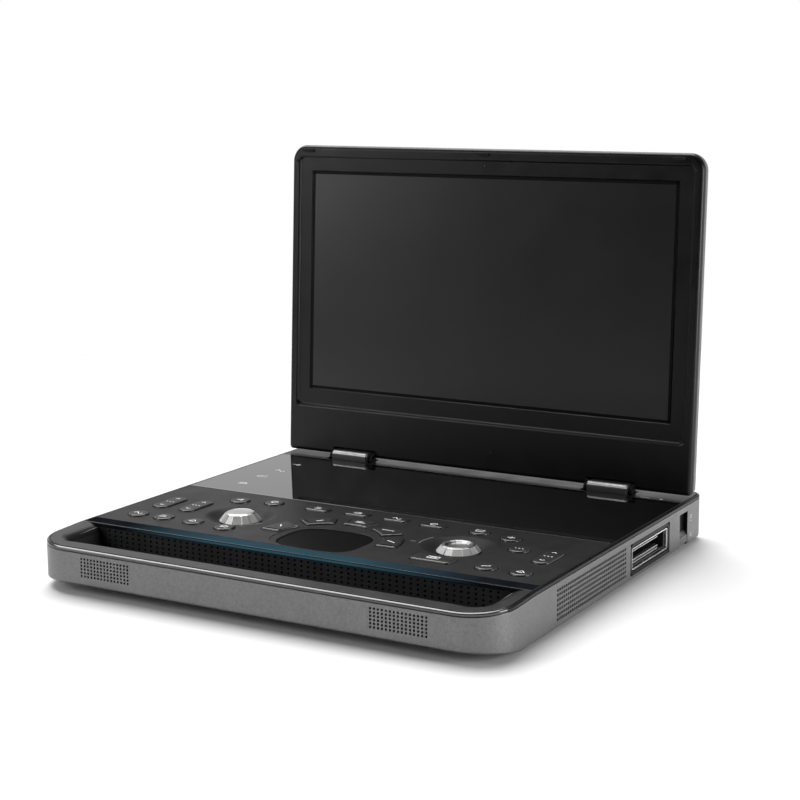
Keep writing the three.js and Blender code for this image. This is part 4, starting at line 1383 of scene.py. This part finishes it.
def make_slider():
    """The ribbed tab that locks the plug, with a sloping ledge on top, and the marks at its two ends."""
    low, high = SLIDER_LOW, SLIDER_HIGH
    ledge = high.z - 3.4
    back = FACE - RECESS_DEPTH + 0.1
    tab = Skin()
    tab.solid(rounded(low.y, low.z, high.y, ledge, 0.5, 3), [(0, back), (0, FACE - 0.45), (0.25, FACE - 0.2)])
    ramp = [(ledge - 1, back), (high.z, back), (high.z, back + 0.2), (ledge - 0.2, FACE - 0.5),
            (ledge - 1, FACE - 0.5)]
    tab.closed([[(y, v, x) for v, x in ramp] for y in (low.y + 0.1, high.y - 0.1)])
    for k in range(3):
        v = low.z + 2.0 + 2.0 * k
        tab.solid(rounded(low.y + 2.2, v - 0.45, high.y - 2.2, v + 0.45, 0.4, 3),
                  into_wall([(0, 0.4), (0, 0), (0.2, -0.15)]))
    piece("lock_tab", tab, "lock_slider", [PAINT], ["lock_slider"], RIGHT)
    y = high.y + 7.8
    marks = Skin()
    for v in (-13.8, -28.8):
        ribbon(marks, arc(y, v, 1.3, 0, 330, 14), 0.35, FACE)
    ribbon(marks, [(y - 1.1, -17.2), (y + 1.1, -17.2)], 0.4, FACE)
    piece("lock_marks", marks, "base", [INK], place=RIGHT)


# ---- Left side: sockets ------------------------------------------------------------------------
INLET = (-262, -18.5)
USB_AT = (-280, -297)
NETWORK = (-320.3, -23.9, -308.7, -13.1)


def port_outlines(gap):
    """The two data sockets and the network socket, with a gap around their shells."""
    boxes = [(u - 6.5, -21.2, u + 6.5, -15.8, 0.4) for u in USB_AT] + [(*NETWORK, 0.5)]
    return [rounded(x0 - gap, y0 - gap, x1 + gap, y1 + gap, r, 3) for x0, y0, x1, y1, r in boxes]


def make_ports():
    """The plate around the power inlet, two data sockets and the network socket."""
    plate, metal, tongues = Skin(), Skin(), Skin()
    plate.solid(rounded(-PORTS_HIGH.y, PORTS_LOW.z, -PORTS_LOW.y, PORTS_HIGH.z, 0.8, 4),
                into_wall([(0, 14), (0, 0.2), (0.2, 0)]))
    body = mesh_object("port_plate", plate, LEFT)
    holes = [circle(*INLET, 4, 32)] + port_outlines(0.1)
    carve(body, *[cutter(hole, FACE - 12, FACE + 3, LEFT) for hole in holes], sharp=28)
    finish_piece(body, "base", [BLACK_PLASTIC], ["port_block"])
    for outline, wall in zip(port_outlines(0), (0.4, 0.4, 0.45)):
        metal.hoop(outline, into_wall([(0.05, 11), (0.05, 0.1), (wall, 0.1), (wall, 11)]))
    metal.solid(circle(*INLET, 1.1, 20), into_wall([(0, 12.5), (0, 3.3), (0.5, 2.6)]))
    metal.hoop(circle(*INLET, 3.95, 32), into_wall([(0, 9), (0, 0.2), (0.35, 0.1), (0.35, 9)]))
    piece("port_shells", metal, "base", [SOCKET_METAL], place=LEFT)
    for u in USB_AT:
        tongues.block((u - 5.4, -17.6, FACE - 11.5), (u + 5.4, -16.2, FACE - 1.2), 0.15)
    for k in range(8):
        u = -318.6 + 8.2 * k / 7
        tongues.block((u - 0.3, -15.5, FACE - 11.5), (u + 0.3, -14.9, FACE - 3), 0.08)
    piece("port_tongues", tongues, "base", [BLACK_PLASTIC], place=LEFT)


# ---- Underside ---------------------------------------------------------------------------------
def make_feet():
    for node in ("foot_front_left", "foot_front_right", "foot_rear_left", "foot_rear_right"):
        low, high = deck_box(node)
        at = middle(node)
        r = (high.x - low.x) / 2
        levels = [(r, high.z), (r, low.z + 0.8), (r - 0.25, low.z + 0.3), (r - 0.8, low.z), (5.6, low.z),
                  (5.3, low.z + 0.35), (4.6, low.z + 0.35), (4.3, low.z)]
        skin = Skin()
        skin.closed([lifted(circle(at.x, at.y, q), z) for q, z in levels])
        piece(node.replace("foot", "rubber_foot"), skin, "base", [RUBBER], [node])


def make_battery_cover():
    """The battery's door, with a thumb hollow and shallow ribs."""
    low, high = BATTERY_LOW, BATTERY_HIGH
    skin, thumb = Skin(), Skin()
    skin.solid(rounded(low.x, low.y, high.x, high.y, 3, 6),
               [(0, high.z), (0, low.z + 0.4), (0.12, low.z + 0.12), (0.4, low.z)])
    cover = mesh_object("battery_door", skin)
    mid = (low.x + high.x) / 2
    thumb.solid(rounded(mid - 11, high.y - 16, mid + 11, high.y - 7, 4.4, 6),
                [(-0.6, low.z - 2), (-0.6, low.z - 0.1), (0.2, low.z + 0.5), (1.5, low.z + 1.1),
                 (3, low.z + 1.25)])
    tools = [mesh_object("cutter", thumb)]
    for k in range(7):
        y = low.y + 12 + 9 * k
        tools.append(cutter(rounded(low.x + 10, y, high.x - 10, y + 2, 0.9, 4), low.z - 2, low.z + 0.45))
    carve(cover, *tools, sharp=28)
    finish_piece(cover, "base", [PAINT], ["battery_cover"])


def make_case_screws():
    skin = Skin()
    for x, rows in ((-178, (104, 215, 322)), (0, (215, 322)), (178, (104, 215, 322))):
        for y in rows:
            screw(skin, x, y, BOTTOM, 3.0)
    piece("case_screws", skin, "base", [STEEL])


# ---- CAD pieces that stay ----------------------------------------------------------------------
KEPT = {
    BOARD: ("switch_board", "main_board"),
    BLACK_PLASTIC: ("battery_pack", "fan_housing", "fan_impeller", "speaker_left", "speaker_right"),
    FIN_METAL: ("heat_sink",),
    LEAF_METAL: ("hinge_leaf_left", "hinge_leaf_right"),
}


def dress_kept():
    for material, nodes in KEPT.items():
        for node in nodes:
            mesh = frame["nodes"][node].data
            mesh.materials.clear()
            mesh.materials.append(material)


make_case()
make_grilles()
make_deck_frame()
make_edge_trim()
make_slot_liner()
make_inserts()
make_control_panel()
for key in PLAIN_KEYS + RING_KEYS:
    make_key(key)
make_knobs()
make_trackpad()
make_printing()
for barrel in HINGE_BARRELS:
    make_hinge_cover(barrel)
make_hinge_brackets()
make_bezel()
make_camera_eye()
make_display()
make_rear_cover()
make_bumpers()
make_socket()
make_contacts()
make_slider()
make_ports()
make_feet()
make_battery_cover()
make_case_screws()
dress_kept()
